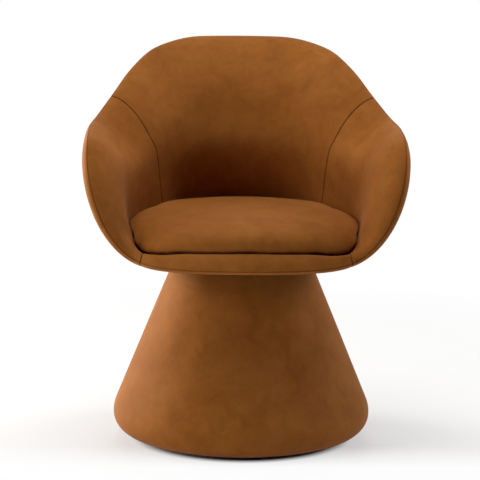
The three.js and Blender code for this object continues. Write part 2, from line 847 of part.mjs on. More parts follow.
function teeNut() {
  const bore = boltRadius + fixingClearance;
  const flangeUnder = boardTop - teeFlangeThick;
  return turned([
    [bore, shellFloorTop + seatGap],
    [teeBarrelRadius, shellFloorTop + seatGap],
    [teeBarrelRadius, flangeUnder],
    [teeFlangeRadius, flangeUnder],
    [teeFlangeRadius, boardTop],
    [bore, boardTop],
  ], screwSides);
}

// Cone

const footCentre = { radius: coneRadius - footRound, height: coneBottom + footRound };

// Radius of the cone's straight side at a height, drawn in by the inset.
function sideRadius(height, inset) {
  const start = footCentre.radius + footRound * Math.cos(slopeAngle);
  const climb = height - footCentre.height - footRound * Math.sin(slopeAngle);
  return start - climb * coneSlope - inset / Math.cos(slopeAngle);
}

function footArc(inset) {
  const radius = footRound - inset;
  return Array.from({ length: footSteps + 1 }, (_, i) => {
    const turn = THREE.MathUtils.lerp(-QUARTER_TURN, slopeAngle, i / footSteps);
    return [footCentre.radius + radius * Math.cos(turn), footCentre.height + radius * Math.sin(turn)];
  });
}

function topArc(inset) {
  const centreHeight = coneTop - topRound;
  const centreRadius = sideRadius(centreHeight, topRound);
  return Array.from({ length: topSteps + 1 }, (_, i) => {
    const turn = THREE.MathUtils.lerp(slopeAngle, QUARTER_TURN, i / topSteps);
    const radius = topRound - inset;
    return [centreRadius + radius * Math.cos(turn), centreHeight + radius * Math.sin(turn)];
  });
}

const underEdge = (inset) => [hemRadius, coneBottom + inset];
const topEdge = (inset) => [topFoldRadius, coneTop - inset];

const coneOuterPath = (inset) => [underEdge(inset), ...footArc(inset), ...topArc(inset), topEdge(inset)];

const coneCoverSolid = () => turned([...coneOuterPath(0), ...coneOuterPath(coneCover).reverse()], coneSides);

function conePaddingSolid() {
  const outer = coneCover + seatGap;
  const inner = outer + conePadding;
  const topUnder = coneTop - inner;
  return turned([
    ...coneOuterPath(outer),
    [topFoldRadius, topUnder],
    [sideRadius(topUnder, inner), topUnder],
    ...footArc(inner).reverse(),
    underEdge(inner),
  ], coneSides);
}

function coneShell() {
  const inner = shellInset + coneWall;
  return turned([
    underEdge(shellInset),
    ...footArc(shellInset),
    [sideRadius(topDiscTop, shellInset), topDiscTop],
    [sideRadius(topDiscTop, inner), topDiscTop],
    ...footArc(inner).reverse(),
    underEdge(inner),
  ], coneSides);
}

function topDisc() {
  const inset = shellInset + coneWall + seatGap;
  const bottom = topDiscTop - topDiscThick;
  const body = turned([
    [pinHeadRadius + bushingFlange, bottom],
    [sideRadius(bottom, inset), bottom],
    [sideRadius(topDiscTop, inset), topDiscTop],
    [pinHeadRadius + bushingFlange, topDiscTop],
  ], coneSides);
  const depth = screwLength - plateThick + seatGap;
  const hole = disc(screwRadius + fixingClearance, topDiscTop - depth, topDiscTop + cutOverrun, screwSides);
  return cutAway(body, lowerScrewPlaces.map((p) => hole.clone().translate(p.x, p.y, 0)));
}

// The bottom board's lower step closes the cone and its upper step rests on the shell's flange.
const bottomBoard = () => turned([
  [0, boardLowerFace],
  [hemRadius - boardEdgeGap, boardLowerFace],
  [hemRadius - boardEdgeGap, flangeTop + seatGap],
  [footCentre.radius - seatGap, flangeTop + seatGap],
  [footCentre.radius - seatGap, flangeTop + seatGap + boardUpperThick],
  [0, flangeTop + seatGap + boardUpperThick],
], coneSides);

function rib(turn) {
  const inset = shellInset + coneWall;
  const bottom = flangeTop + boardUpperThick + 2 * seatGap;
  const top = topDiscTop - topDiscThick - seatGap;
  const arc = footArc(inset + ribEdgeGap).filter(([, height]) => height > bottom);
  const outline = [
    [ribInner, bottom],
    [footCentre.radius, bottom],
    ...arc,
    [sideRadius(top, inset + ribEdgeGap), top],
    [ribInner, top],
  ].map(([r, h]) => new THREE.Vector2(r, h));
  return flatSolid(outline, [], -ribThick / 2, ribThick).rotateX(QUARTER_TURN).rotateZ(turn);
}

const glide = () => turned([
  [0, 0],
  [glideRadius - glideChamfer, 0],
  [glideRadius, glideChamfer],
  [glideRadius, boardLowerFace],
  [0, boardLowerFace],
], glideSides);

// The base, which stands on the floor

addPiece(base, 'base_cover', coneCoverSolid(), leather);
addPiece(base, 'base_padding', conePaddingSolid(), foam);
addPiece(base, 'base_shell', coneShell(), moulding);
addPiece(base, 'base_top_disc', topDisc(), plywood);
addPiece(base, 'base_bottom_board', bottomBoard(), blackBoard);
for (let i = 0; i < ribCount; i += 1) {
  const turn = QUARTER_TURN / 2 + (i / ribCount) * FULL_TURN;
  addPiece(base, `base_rib_${i + 1}`, rib(turn), plywood);
}
const glidePlaces = placesOnCircle(glideCount, glideCircle, glideTurn * DEGREE - QUARTER_TURN);
addCopies(base, 'base_glide', glidePlaces, glide(), glidePlastic);
addPiece(base, 'swivel_lower_plate', lowerPlate(), zincSteel);
addCopies(base, 'lower_plate_screw', lowerScrewPlaces, lowerScrew(), zincSteel);
addPiece(base, 'swivel_pin', pin(), hardSteel);
addPiece(base, 'swivel_washer', washer(), zincSteel);
addPiece(base, 'swivel_nut', nut(), zincSteel);

// The balls and their cage, which turn at half the seat's rate

addCopies(ballCage, 'swivel_ball', placesOnCircle(ballCount, ballCircle), ball(), hardSteel);
addPiece(ballCage, 'swivel_cage', cage(), nylon);

// The seat, which turns on the base

addPiece(seat, 'swivel_upper_plate', upperPlate(), zincSteel);
addPiece(seat, 'swivel_bushing', bushing(), nylon);
addCopies(seat, 'upper_plate_bolt', upperBoltPlaces, upperBolt(), zincSteel);
addCopies(seat, 'tee_nut', upperBoltPlaces, teeNut(), zincSteel);
addPiece(seat, 'seat_board', seatBoard(), plywood);
addPiece(seat, 'tub_shell', tubShell(), moulding);
addPiece(seat, 'dust_cover', dustCover(), blackCloth);

const rightArm = [borderSeamShare, backSeamShare];
const leftArm = [2 - backSeamShare, 2 - borderSeamShare];
const wholeBack = [backSeamShare, 2 - backSeamShare];
const wholeFront = [-borderSeamShare, borderSeamShare];

addPiece(seat, 'outer_cover_front', wallPanel(...wholeFront, outerCoverRows), leather);
addPiece(seat, 'outer_cover_right', wallPanel(...rightArm, outerCoverRows), leather);
addPiece(seat, 'outer_cover_left', wallPanel(...leftArm, outerCoverRows), leather);
addPiece(seat, 'outer_cover_back', wallPanel(...wholeBack, outerCoverRows), leather);
addPiece(seat, 'front_border_foam', wallPanel(...wholeFront, foamRows), foam);
addPiece(seat, 'arm_foam_right', wallPanel(...rightArm, foamRows), foam);
addPiece(seat, 'arm_foam_left', wallPanel(...leftArm, foamRows), foam);
addPiece(seat, 'back_foam', wallPanel(...wholeBack, foamRows), foam);
addPiece(seat, 'front_border_cover', wallPanel(...wholeFront, innerCoverRows), leather);
addPiece(seat, 'arm_cover_right', wallPanel(...rightArm, innerCoverRows), leather);
addPiece(seat, 'arm_cover_left', wallPanel(...leftArm, innerCoverRows), leather);
addPiece(seat, 'back_cover', wallPanel(...wholeBack, innerCoverRows), leather);
addPiece(seat, 'seat_cushion_foam', cushionFoam(), foam);
addPiece(seat, 'seat_cushion_cover', cushionCover(), leather);

export default chair;
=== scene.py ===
"""A pedestal swivel armchair: a padded tub on a ball-bearing swivel, on top of a padded cone.

All sizes are in metres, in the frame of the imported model: +Z up, with the chair's front facing -Y.
"""

import json
import logging
import math
from dataclasses import dataclass, field
from enum import Enum
from typing import Callable, Sequence

import bmesh
import bpy
import numpy as np
from mathutils import Matrix, Vector, noise

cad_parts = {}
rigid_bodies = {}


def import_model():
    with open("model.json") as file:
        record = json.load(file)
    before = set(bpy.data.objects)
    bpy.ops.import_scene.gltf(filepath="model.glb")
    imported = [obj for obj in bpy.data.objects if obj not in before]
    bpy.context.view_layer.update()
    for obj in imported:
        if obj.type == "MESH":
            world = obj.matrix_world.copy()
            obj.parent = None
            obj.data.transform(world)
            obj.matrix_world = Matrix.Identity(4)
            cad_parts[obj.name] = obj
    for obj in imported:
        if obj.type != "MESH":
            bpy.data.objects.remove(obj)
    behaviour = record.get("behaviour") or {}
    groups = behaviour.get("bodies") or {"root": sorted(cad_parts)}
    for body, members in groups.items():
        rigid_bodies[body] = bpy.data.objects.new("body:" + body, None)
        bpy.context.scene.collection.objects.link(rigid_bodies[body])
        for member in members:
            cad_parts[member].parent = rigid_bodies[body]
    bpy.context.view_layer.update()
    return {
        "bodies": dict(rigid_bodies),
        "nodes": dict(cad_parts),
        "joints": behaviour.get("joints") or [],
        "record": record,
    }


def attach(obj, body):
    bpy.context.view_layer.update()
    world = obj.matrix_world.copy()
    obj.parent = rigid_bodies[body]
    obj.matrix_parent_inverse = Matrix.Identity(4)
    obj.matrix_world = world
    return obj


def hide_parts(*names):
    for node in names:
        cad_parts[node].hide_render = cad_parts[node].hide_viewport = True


log = logging.getLogger("armchair")

Piece = bpy.types.Object
QUARTER_TURN = math.pi / 2
FULL_TURN = math.pi * 2


class Body(Enum):
    """The bodies that the new pieces ride on."""

    BASE = "base"
    SEAT = "seat"


class Slot(Enum):
    """The record's material slots."""

    LEATHER = "tan_leather"
    MOULDING = "moulded_plastic"
    PLYWOOD = "plywood"
    BLACK_BOARD = "black_board"
    BLACK_CLOTH = "black_cloth"
    ZINC_STEEL = "zinc_steel"
    HARD_STEEL = "hard_steel"
    NYLON = "nylon"
    GLIDE = "glide_plastic"


# Shader expressions


def maths(operation: str, swapped: bool = False) -> Callable[["Shade", "Shade | float"], "Shade"]:
    """A method of Shade that adds one Math node.

    Args:
        operation: What the node does.
        swapped: Whether the other value comes first.

    Returns:
        The method.
    """
    def method(self: "Shade", other: "Shade | float") -> "Shade":
        """The operation's result."""
        first, second = (other, self) if swapped else (self, other)
        node = self.bench.node("ShaderNodeMath", {"operation": operation}, {0: first, 1: second})
        return Shade(self.bench, node.outputs[0])

    return method


class Shade:
    """A number that varies over a surface, written as plain maths."""

    def __init__(self, bench: "ShaderBench", socket: bpy.types.NodeSocket) -> None:
        """Wraps an output socket of a node on the bench."""
        self.bench = bench
        self.socket = socket

    __add__, __radd__ = maths("ADD"), maths("ADD", swapped=True)
    __sub__, __rsub__ = maths("SUBTRACT"), maths("SUBTRACT", swapped=True)
    __mul__, __rmul__ = maths("MULTIPLY"), maths("MULTIPLY", swapped=True)
    at_most, at_least = maths("MINIMUM"), maths("MAXIMUM")

    def within(self, low: float, high: float) -> "Shade":
        """The value, held between two limits."""
        return self.at_least(low).at_most(high)


class ShaderBench:
    """A material's or world's nodes, and the one way in which they are made."""

    def __init__(self, owner: bpy.types.Material | bpy.types.World, shader: str = "Principled BSDF") -> None:
        """Turns the owner's nodes on.

        Args:
            owner: A new material or world.
            shader: The name of the shader that it starts with.
        """
        owner.use_nodes = True
        self.owner = owner
        self.tree = owner.node_tree
        self.surface = self.tree.nodes[shader]

    @classmethod
    def material(cls, name: str) -> "ShaderBench":
        """The bench of a new material."""
        return cls(bpy.data.materials.new(name))

    def node(self, kind: str, settings: dict, sockets: dict) -> bpy.types.Node:
        """Adds a node.

        Args:
            kind: The node's type.
            settings: Values of its own properties, which are set first.
            sockets: Values, shades or output sockets for its inputs, by name or index.

        Returns:
            The node.
        """
        made = self.tree.nodes.new(kind)
        for key, value in settings.items():
            setattr(made, key, value)
        self.feed(made, sockets)
        return made

    def feed(self, made: bpy.types.Node, sockets: dict) -> None:
        """Sets or links a node's inputs, by name or index."""
        for key, value in sockets.items():
            if isinstance(value, Shade):
                self.tree.links.new(value.socket, made.inputs[key])
            elif isinstance(value, bpy.types.NodeSocket):
                self.tree.links.new(value, made.inputs[key])
            else:
                made.inputs[key].default_value = value

    def places(self, stretch: Sequence[float] = (1, 1, 1)) -> bpy.types.NodeSocket:
        """Object coordinates, stretched along each axis."""
        where = self.node("ShaderNodeTexCoord", {}, {})
        mapping = self.node("ShaderNodeMapping", {}, {"Vector": where.outputs["Object"], "Scale": stretch})
        return mapping.outputs[0]

    def noise(self, scale: float, detail: float = 2, roughness: float = 0.5,
              stretch: Sequence[float] = (1, 1, 1), twist: float = 0) -> Shade:
        """Noise from 0 to 1.

        Args:
            scale: Cells per metre.
            detail: Octaves on top of the first.
            roughness: How strong those octaves are.
            stretch: Scale along each axis.
            twist: How far the pattern is pushed about by itself.

        Returns:
            The noise.
        """
        made = self.node("ShaderNodeTexNoise", {}, {
            "Vector": self.places(stretch), "Scale": scale, "Detail": detail,
            "Roughness": roughness, "Distortion": twist,
        })
        return Shade(self, made.outputs["Fac"])

    def pebbles(self, scale: float) -> Shade:
        """Distance from the nearest cell centre of a Voronoi pattern."""
        made = self.node("ShaderNodeTexVoronoi", {"feature": "F1"}, {"Vector": self.places(), "Scale": scale})
        return Shade(self, made.outputs["Distance"])

    def attribute(self, name: str) -> Shade:
        """A value that is kept on the piece's points."""
        made = self.node("ShaderNodeAttribute", {"attribute_name": name}, {})
        return Shade(self, made.outputs["Fac"])

    def mix(self, share: "Shade | float", start: object, end: object) -> bpy.types.NodeSocket:
        """A colour between two others.

        Args:
            share: 0 for the start and 1 for the end.
            start: A colour or a colour socket.
            end: A colour or a colour socket.

        Returns:
            The mixed colour's socket.
        """
        made = self.node("ShaderNodeMix", {"data_type": "RGBA"}, {0: share, 6: start, 7: end})
        return made.outputs[2]

    def bump(self, height: Shade, depth: float, strength: float = 1) -> None:
        """Feeds the shader's normal with a bump.

        Args:
            height: The relief, from 0 to 1.
            depth: How deep a relief of 1 is.
            strength: How much of it shows.
        """
        made = self.node("ShaderNodeBump", {}, {"Height": height, "Distance": depth, "Strength": strength})
        self.feed(self.surface, {"Normal": made.outputs[0]})


def tint(red: float, green: float, blue: float) -> tuple[float, float, float, float]:
    """A colour with full alpha, in linear light."""
    return (red, green, blue, 1.0)


@dataclass(frozen=True)
class LeatherFinish:
    """Soft matte leatherette with a brushed nap, a fine grain and painted shade along the seams."""

    tone: tuple = tint(0.285, 0.095, 0.0145)
    pale: tuple = tint(0.345, 0.124, 0.024)
    deep: tuple = tint(0.220, 0.068, 0.009)
    seam_shadow_tone: tuple = tint(0.070, 0.020, 0.004)
    cloud_scale: float = 9
    nap_scale: float = 34
    grain_scale: float = 620
    grain_depth: float = 0.00022
    roughness: float = 0.74
    gloss: float = 0.14
    sheen: float = 0.05

    def make(self) -> bpy.types.Material:
        """Builds the material."""
        bench = ShaderBench.material("tan leather")
        cloud = bench.noise(self.cloud_scale, 3, 0.55, twist=0.4)
        nap = bench.noise(self.nap_scale, 4, 0.6, twist=0.8)
        grain = bench.pebbles(self.grain_scale)
        fine = bench.noise(self.grain_scale * 0.45, 3, 0.6)
        pore = (grain * 0.7 + fine * 0.5).at_most(1)
        shift = ((cloud - 0.5) * 1.5 + (nap - 0.5) * 1.2 + 0.5).within(0, 1)
        paler = ((shift - 0.5) * 2).at_least(0)
        deeper = ((0.5 - shift) * 2).at_least(0)
        colour = bench.mix(paler, self.tone, self.pale)
        colour = bench.mix(deeper, colour, self.deep)
        colour = bench.mix((pore - 0.45).at_least(0) * 0.35, colour, self.deep)
        # painted shade: the leather darkens to a dark brown along the seams, where the seam attribute is high
        colour = bench.mix(bench.attribute("seam"), colour, self.seam_shadow_tone)
        rough = (nap - 0.5) * 0.14 + (pore - 0.5) * 0.10 + self.roughness
        bench.feed(bench.surface, {
            "Base Color": colour, "Roughness": rough, "IOR": 1.36, "Specular IOR Level": self.gloss,
            "Sheen Weight": self.sheen, "Sheen Roughness": 0.42, "Sheen Tint": tint(1.0, 0.80, 0.66),
        })
        bench.bump(1 - pore + nap * 0.8, self.grain_depth, 0.8)
        return bench.owner


@dataclass(frozen=True)
class PlasticFinish:
    """Moulded plastic with a fine textured skin."""

    name: str
    tone: tuple
    roughness: float = 0.5
    texture_scale: float = 900
    texture_depth: float = 0.00008

    def make(self) -> bpy.types.Material:
        """Builds the material."""
        bench = ShaderBench.material(self.name)
        speck = bench.noise(self.texture_scale, 3, 0.6)
        flow = bench.noise(14, 3, 0.5)
        paler = tuple(min(c * 1.35 + 0.004, 1) for c in self.tone[:3]) + (1.0,)
        colour = bench.mix((flow * 0.6 + speck * 0.3).at_most(1), self.tone, paler)
        bench.feed(bench.surface, {
            "Base Color": colour, "Roughness": (speck - 0.5) * 0.15 + (flow - 0.5) * 0.1 + self.roughness,
        })
        bench.bump(speck, self.texture_depth)
        return bench.owner


@dataclass(frozen=True)
class WoodFinish:
    """Plywood or painted board, with its grain along one axis."""

    name: str
    early: tuple
    late: tuple
    roughness: float = 0.6
    grain_stretch: tuple = (6, 60, 60)

    def make(self) -> bpy.types.Material:
        """Builds the material."""
        bench = ShaderBench.material(self.name)
        figure = bench.noise(1.0, 5, 0.62, stretch=self.grain_stretch, twist=1.2)
        fibre = bench.noise(1.0, 3, 0.6, stretch=tuple(s * 9 for s in self.grain_stretch))
        share = ((figure - 0.35) * 2.4).within(0, 1) * 0.75 + fibre * 0.25
        bench.feed(bench.surface, {
            "Base Color": bench.mix(share, self.early, self.late),
            "Roughness": (fibre - 0.5) * 0.2 + self.roughness,
        })
        bench.bump(fibre, 0.00015)
        return bench.owner


@dataclass(frozen=True)
class SteelFinish:
    """Bare or plated steel with handling marks."""

    name: str
    tone: tuple
    roughness: float
    mark_scale: float = 55

    def make(self) -> bpy.types.Material:
        """Builds the material."""
        bench = ShaderBench.material(self.name)
        marks = bench.noise(self.mark_scale, 4, 0.65, twist=1.5)
        brushed = bench.noise(1.0, 2, 0.5, stretch=(40, 900, 900))
        duller = tuple(c * 0.72 for c in self.tone[:3]) + (1.0,)
        bench.feed(bench.surface, {
            "Base Color": bench.mix(marks * 0.8, self.tone, duller),
            "Roughness": (marks - 0.5) * 0.22 + (brushed - 0.5) * 0.08 + self.roughness,
            "Metallic": 1.0,
        })
        bench.bump(brushed, 0.00004)
        return bench.owner


@dataclass(frozen=True)
class ClothFinish:
    """Bonded black underside cloth with tiny fibre dimples."""

    tone: tuple = tint(0.010, 0.010, 0.011)
    pale: tuple = tint(0.026, 0.026, 0.028)
    dimple_scale: float = 420

    def make(self) -> bpy.types.Material:
        """Builds the material."""
        bench = ShaderBench.material("black underside cloth")
        dimple = bench.pebbles(self.dimple_scale)
        fibre = bench.noise(1100, 3, 0.7, twist=0.6)
        bench.feed(bench.surface, {
            "Base Color": bench.mix((dimple * 0.6 + fibre * 0.5).at_most(1), self.tone, self.pale),
            "Roughness": fibre * 0.1 + 0.86,
        })
        bench.bump(dimple + fibre * 0.5, 0.0002)
        return bench.owner


class Finishes:
    """Every finish of the chair, made once."""

    def __init__(self) -> None:
        """Builds one material for each of the record's slots."""
        self.by_slot = {
            Slot.LEATHER: LeatherFinish().make(),
            Slot.MOULDING: PlasticFinish("moulded shell plastic", tint(0.040, 0.040, 0.043), 0.55).make(),
            Slot.PLYWOOD: WoodFinish("birch plywood", tint(0.60, 0.42, 0.24), tint(0.42, 0.26, 0.13)).make(),
            Slot.BLACK_BOARD: WoodFinish(
                "black painted board", tint(0.006, 0.006, 0.006), tint(0.016, 0.015, 0.015), 0.62).make(),
            Slot.BLACK_CLOTH: ClothFinish().make(),
            Slot.ZINC_STEEL: SteelFinish("zinc plated steel", tint(0.60, 0.61, 0.62), 0.34).make(),
            Slot.HARD_STEEL: SteelFinish("hardened steel", tint(0.66, 0.67, 0.68), 0.17).make(),
            Slot.NYLON: PlasticFinish("natural nylon", tint(0.74, 0.72, 0.66), 0.42).make(),
            Slot.GLIDE: PlasticFinish("black glide plastic", tint(0.006, 0.006, 0.007), 0.42).make(),
        }

    def dress(self, piece: Piece, slot: Slot) -> None:
        """Gives a piece, or a carried-over CAD node, the finish of a slot.

        Args:
            piece: The piece or node.
            slot: The slot whose finish it takes.
        """
        if not piece.material_slots:
            piece.data.materials.append(self.by_slot[slot])
        for place in piece.material_slots:
            place.material = self.by_slot[slot]

    def hand_over(self, piece: Piece, slot: Slot, body: Body, *replaced: str) -> None:
        """Dresses a piece in a slot's finish, puts it on its body and hides the nodes that it replaces."""
        self.dress(piece, slot)
        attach(piece, body.value)
        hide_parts(*replaced)


# Modelling


def deselect_all() -> None:
    """Leaves nothing selected, in object mode."""
    if bpy.context.object is not None and bpy.context.object.mode != "OBJECT":
        bpy.ops.object.mode_set(mode="OBJECT")
    bpy.ops.object.select_all(action="DESELECT")


def make_active(piece: Piece) -> None:
    """Selects one piece alone."""
    deselect_all()
    piece.select_set(True)
    bpy.context.view_layer.objects.active = piece


def new_piece(name: str) -> Piece:
    """Names the primitive that has just been added, its mesh too, and settles its place in its mesh."""
    piece = bpy.context.object
    piece.name = name
    piece.data.name = name
    bpy.ops.object.transform_apply(location=True, rotation=True, scale=True)
    return piece


def apply_modifier(piece: Piece, kind: str, settings: dict) -> None:
    """Adds a modifier to a piece and applies it.

    Args:
        piece: The piece.
        kind: The modifier's type.
        settings: Values of its properties.
    """
    make_active(piece)
    modifier = piece.modifiers.new(kind.title(), kind)
    for key, value in settings.items():
        setattr(modifier, key, value)
    bpy.ops.object.modifier_apply(modifier=modifier.name)


def shade_smooth(piece: Piece, degrees: float = 180) -> None:
    """Smooths a piece's shading, apart from edges that are sharper than the angle."""
    make_active(piece)
    if degrees >= 180:
        bpy.ops.object.shade_smooth()
    else:
        bpy.ops.object.shade_smooth_by_angle(angle=math.radians(degrees))


class EditMode:
    """Edit mode on one piece, in which faces and edges are selected by where they lie."""

    def __init__(self, piece: Piece, mode: str = "EDGE") -> None:
        """Notes the piece and whether vertices, edges or faces are selected."""
        self.piece = piece
        self.mode = mode

    def __enter__(self) -> "EditMode":
        """Enters edit mode with nothing selected."""
        make_active(self.piece)
        bpy.ops.object.mode_set(mode="EDIT")
        bpy.ops.mesh.select_mode(type=self.mode)
        bpy.ops.mesh.select_all(action="DESELECT")
        return self

    def __exit__(self, *problem: object) -> None:
        """Goes back to object mode."""
        bpy.ops.object.mode_set(mode="OBJECT")

    def pick(self, parts: str, test: Callable[..., bool]) -> None:
        """Selects each edge or face whose two measures pass the test, and no other.

        Args:
            parts: "edges", measured by their two ends, or "faces", by their middle and normal.
            test: What the two measures have to pass.
        """
        mesh = bmesh.from_edit_mesh(self.piece.data)
        mesh.normal_update()
        bpy.ops.mesh.select_all(action="DESELECT")
        for part in getattr(mesh, parts):
            if parts == "edges":
                part.select_set(test(part.verts[0].co, part.verts[1].co))
            else:
                part.select_set(test(part.calc_center_median(), part.normal))
        bmesh.update_edit_mesh(self.piece.data)

    def face_out(self) -> None:
        """Turns every face outwards."""
        bpy.ops.mesh.select_all(action="SELECT")
        bpy.ops.mesh.normals_make_consistent(inside=False)

    def flip(self) -> None:
        """Turns every face round."""
        bpy.ops.mesh.select_all(action="SELECT")
        bpy.ops.mesh.flip_normals()


def points_of(piece: Piece, key: str = "co") -> np.ndarray:
    """A piece's points, or another vector that they have, one row each."""
    found = np.empty(len(piece.data.vertices) * 3)
    piece.data.vertices.foreach_get(key, found)
    return found.reshape(-1, 3)


def normals_of(piece: Piece) -> np.ndarray:
    """The normals at a piece's points, one row each."""
    return points_of(piece, "normal")


def place_points(piece: Piece, places: np.ndarray) -> None:
    """Puts a piece's points at new places."""
    piece.data.vertices.foreach_set("co", np.ascontiguousarray(places, float).ravel())
    piece.data.update()


def keep_value(piece: Piece, name: str, values: np.ndarray) -> None:
    """Keeps one value for each of a piece's points, for its finish to read."""
    kept = piece.data.attributes.new(name, "FLOAT", "POINT")
    kept.data.foreach_set("value", values.astype(np.float32).ravel())


def woven_sheet(name: str, places: np.ndarray, values: np.ndarray | None = None) -> Piece:
    """A sheet of quads, as a grid primitive whose points are put in place.

    Args:
        name: The piece's name.
        places: Its points, as rows of columns.
        values: How much painted seam shade each point takes, from 0 to 1.

    Returns:
        The piece.
    """
    rows, columns = places.shape[:2]
    deselect_all()
    bpy.ops.mesh.primitive_grid_add(x_subdivisions=columns - 1, y_subdivisions=rows - 1, size=1)
    piece = new_piece(name)
    place_points(piece, places.reshape(-1, 3))
    if values is not None:
        keep_value(piece, "seam", values)
    return piece


def close_up(piece: Piece) -> None:
    """Merges points that lie on each other and turns the faces outwards."""
    with EditMode(piece, "VERT") as edit:
        bpy.ops.mesh.select_all(action="SELECT")
        bpy.ops.mesh.remove_doubles(threshold=0.00001)
        edit.face_out()


def uneven(piece: Piece, height: float, wave: float, seed: Sequence[float],
           stretch: Sequence[float]) -> None:
    """Moves a piece's points in and out a little, as hand-laid padding lies.

    Args:
        piece: The piece.
        height: How far a point may move.
        wave: The length of one wave.
        seed: A shift of the pattern.
        stretch: Scale of the pattern along each axis.
    """
    places = points_of(piece)
    factors = np.array(stretch) / wave
    shift = Vector(seed)
    moves = np.array([noise.noise(Vector(p * factors) + shift) for p in places]) * height
    place_points(piece, places + normals_of(piece) * moves[:, None])


# Curves


def lerp(start: np.ndarray, end: np.ndarray, share: np.ndarray) -> np.ndarray:
    """The value at a share of the way from start to end."""
    return start + (end - start) * share


def smooth_step(x: np.ndarray, low: float, high: float) -> np.ndarray:
    """A soft step from 0 at low to 1 at high."""
    t = np.clip((x - low) / (high - low), 0, 1)
    return t * t * (3 - 2 * t)


def unit(vectors: np.ndarray) -> np.ndarray:
    """The vectors at a length of 1."""
    return vectors / np.maximum(np.linalg.norm(vectors, axis=-1, keepdims=True), 1e-12)


class SmoothCurve:
    """A curve through a table's values over 0 to 1, eased so that it has no kinks."""

    SAMPLES = 401
    MARGIN = 60
    EASE = 4.5

    def __init__(self, at: Sequence[float], values: Sequence[float], goes_on: bool = False) -> None:
        """Samples the curve.

        Args:
            at: Where the values stand, from 0 to 1.
            values: The values.
            goes_on: Whether the curve runs straight on past its ends and isn't mirrored there.
        """
        x, y = np.array(at, float), np.array(values, float)
        slopes = np.diff(y) / np.diff(x)
        product = slopes[:-1] * slopes[1:]
        total = np.where(product > 0, slopes[:-1] + slopes[1:], 1)
        tangents = np.concatenate([slopes[:1], np.where(product > 0, 2 * product / total, 0), slopes[-1:]])
        where = np.linspace(0, 1, self.SAMPLES)
        i = np.clip(np.searchsorted(x, where) - 1, 0, len(x) - 2)
        width = x[i + 1] - x[i]
        raw = self._cubic(y[i], y[i + 1], tangents[i], tangents[i + 1], width, (where - x[i]) / width)
        wide = np.pad(raw, self.MARGIN, mode="reflect", reflect_type="odd" if goes_on else "even")
        steps = np.arange(-self.MARGIN // 2, self.MARGIN // 2 + 1)
        kernel = np.exp(-0.5 * (steps / self.EASE) ** 2)
        eased = np.convolve(wide, kernel / kernel.sum(), mode="same")
        self.values = eased[self.MARGIN:-self.MARGIN]
        self.tangents = np.gradient(eased)[self.MARGIN:-self.MARGIN]

    @staticmethod
    def _cubic(start: np.ndarray, end: np.ndarray, leave: np.ndarray, arrive: np.ndarray,
               width: np.ndarray, t: np.ndarray) -> np.ndarray:
        """A cubic between two values with the given slopes."""
        first = start * (1 + 2 * t) * (1 - t) ** 2 + leave * width * t * (1 - t) ** 2
        return first + end * t * t * (3 - 2 * t) - arrive * width * t * t * (1 - t)

    def __call__(self, where: np.ndarray) -> np.ndarray:
        """The curve's values at these places."""
        p = np.clip(where, 0, 1) * (self.SAMPLES - 1)
        i = np.minimum(p.astype(int), self.SAMPLES - 2)
        return self._cubic(self.values[i], self.values[i + 1], self.tangents[i], self.tangents[i + 1], 1.0, p - i)


def run_lengths(path: np.ndarray, axis: int = 0) -> np.ndarray:
    """How far along a path, or along each line of a grid, its points lie, from 0."""
    runs = np.cumsum(np.linalg.norm(np.diff(path, axis=axis), axis=-1), axis=axis)
    return np.concatenate([np.zeros_like(np.take(runs, [0], axis=axis)), runs], axis=axis)


def resampled(path: np.ndarray, distances: np.ndarray) -> np.ndarray:
    """The points of a path at these distances along it."""
    runs = run_lengths(path)
    return np.stack([np.interp(distances, runs, path[:, k]) for k in range(path.shape[1])], axis=-1)


def spaced(length: float, count: int, tight_end: bool = False) -> np.ndarray:
    """Distances along a strip, close together where a seam is rolled in.

    Args:
        length: The strip's length.
        count: How many equal steps the rest has.
        tight_end: Whether there is a seam at the end too, and not only at the start.

    Returns:
        The distances, from 0 to the length.
    """
    tight = np.array([0, 0.0005, 0.0011, 0.0018, 0.0027, 0.0040, 0.0060, 0.0090])
    end = length - (tight if tight_end else np.zeros(1))[::-1]
    middle = np.linspace(tight[-1], end[0], count + 1)[1:-1]
    return np.concatenate([tight, middle, end])


# The tub


@dataclass(frozen=True)
class EdgeStation:
    """One station of the tub's free edge, from the middle of the front, 0, to the middle of the back, 1."""

    at: float
    edge_angle: float
    rise: float
    foot_angle: float
    seam_depth: float


@dataclass(frozen=True)
class PadStation:
    """The padded wall's depth at a station, low, midway and at the top, how far it rounds off, and how it stands up."""

    at: float
    low: float
    mid: float
    top: float
    nose: float
    lift: float


EDGE_STATIONS = [EdgeStation(*row) for row in (
    (0.00, -90.0, 0.024, -90, 0.40),
    (0.10, -69.0, 0.024, -68, 0.40),
    (0.18, -51.0, 0.028, -47, 0.42),
    (0.25, -31.0, 0.050, -30, 0.50),
    (0.32, -22.0, 0.165, -18, 0.75),
    (0.38, -17.7, 0.335, -9, 0.90),
    (0.43, -14.6, 0.480, -2, 0.85),
    (0.47, -11.6, 0.567, 4, 0.65),
    (0.50, -8.5, 0.608, 9, 0.50),
    (0.54, -2.0, 0.630, 16, 0.45),
    (0.60, 14.0, 0.656, 29, 0.45),
    (0.66, 27.5, 0.742, 41, 0.45),
    (0.74, 38.5, 0.859, 55, 0.45),
    (0.82, 51.5, 0.957, 68, 0.45),
    (0.91, 71.5, 1.000, 79, 0.45),
    (1.00, 90.0, 1.000, 90, 0.45),
)]

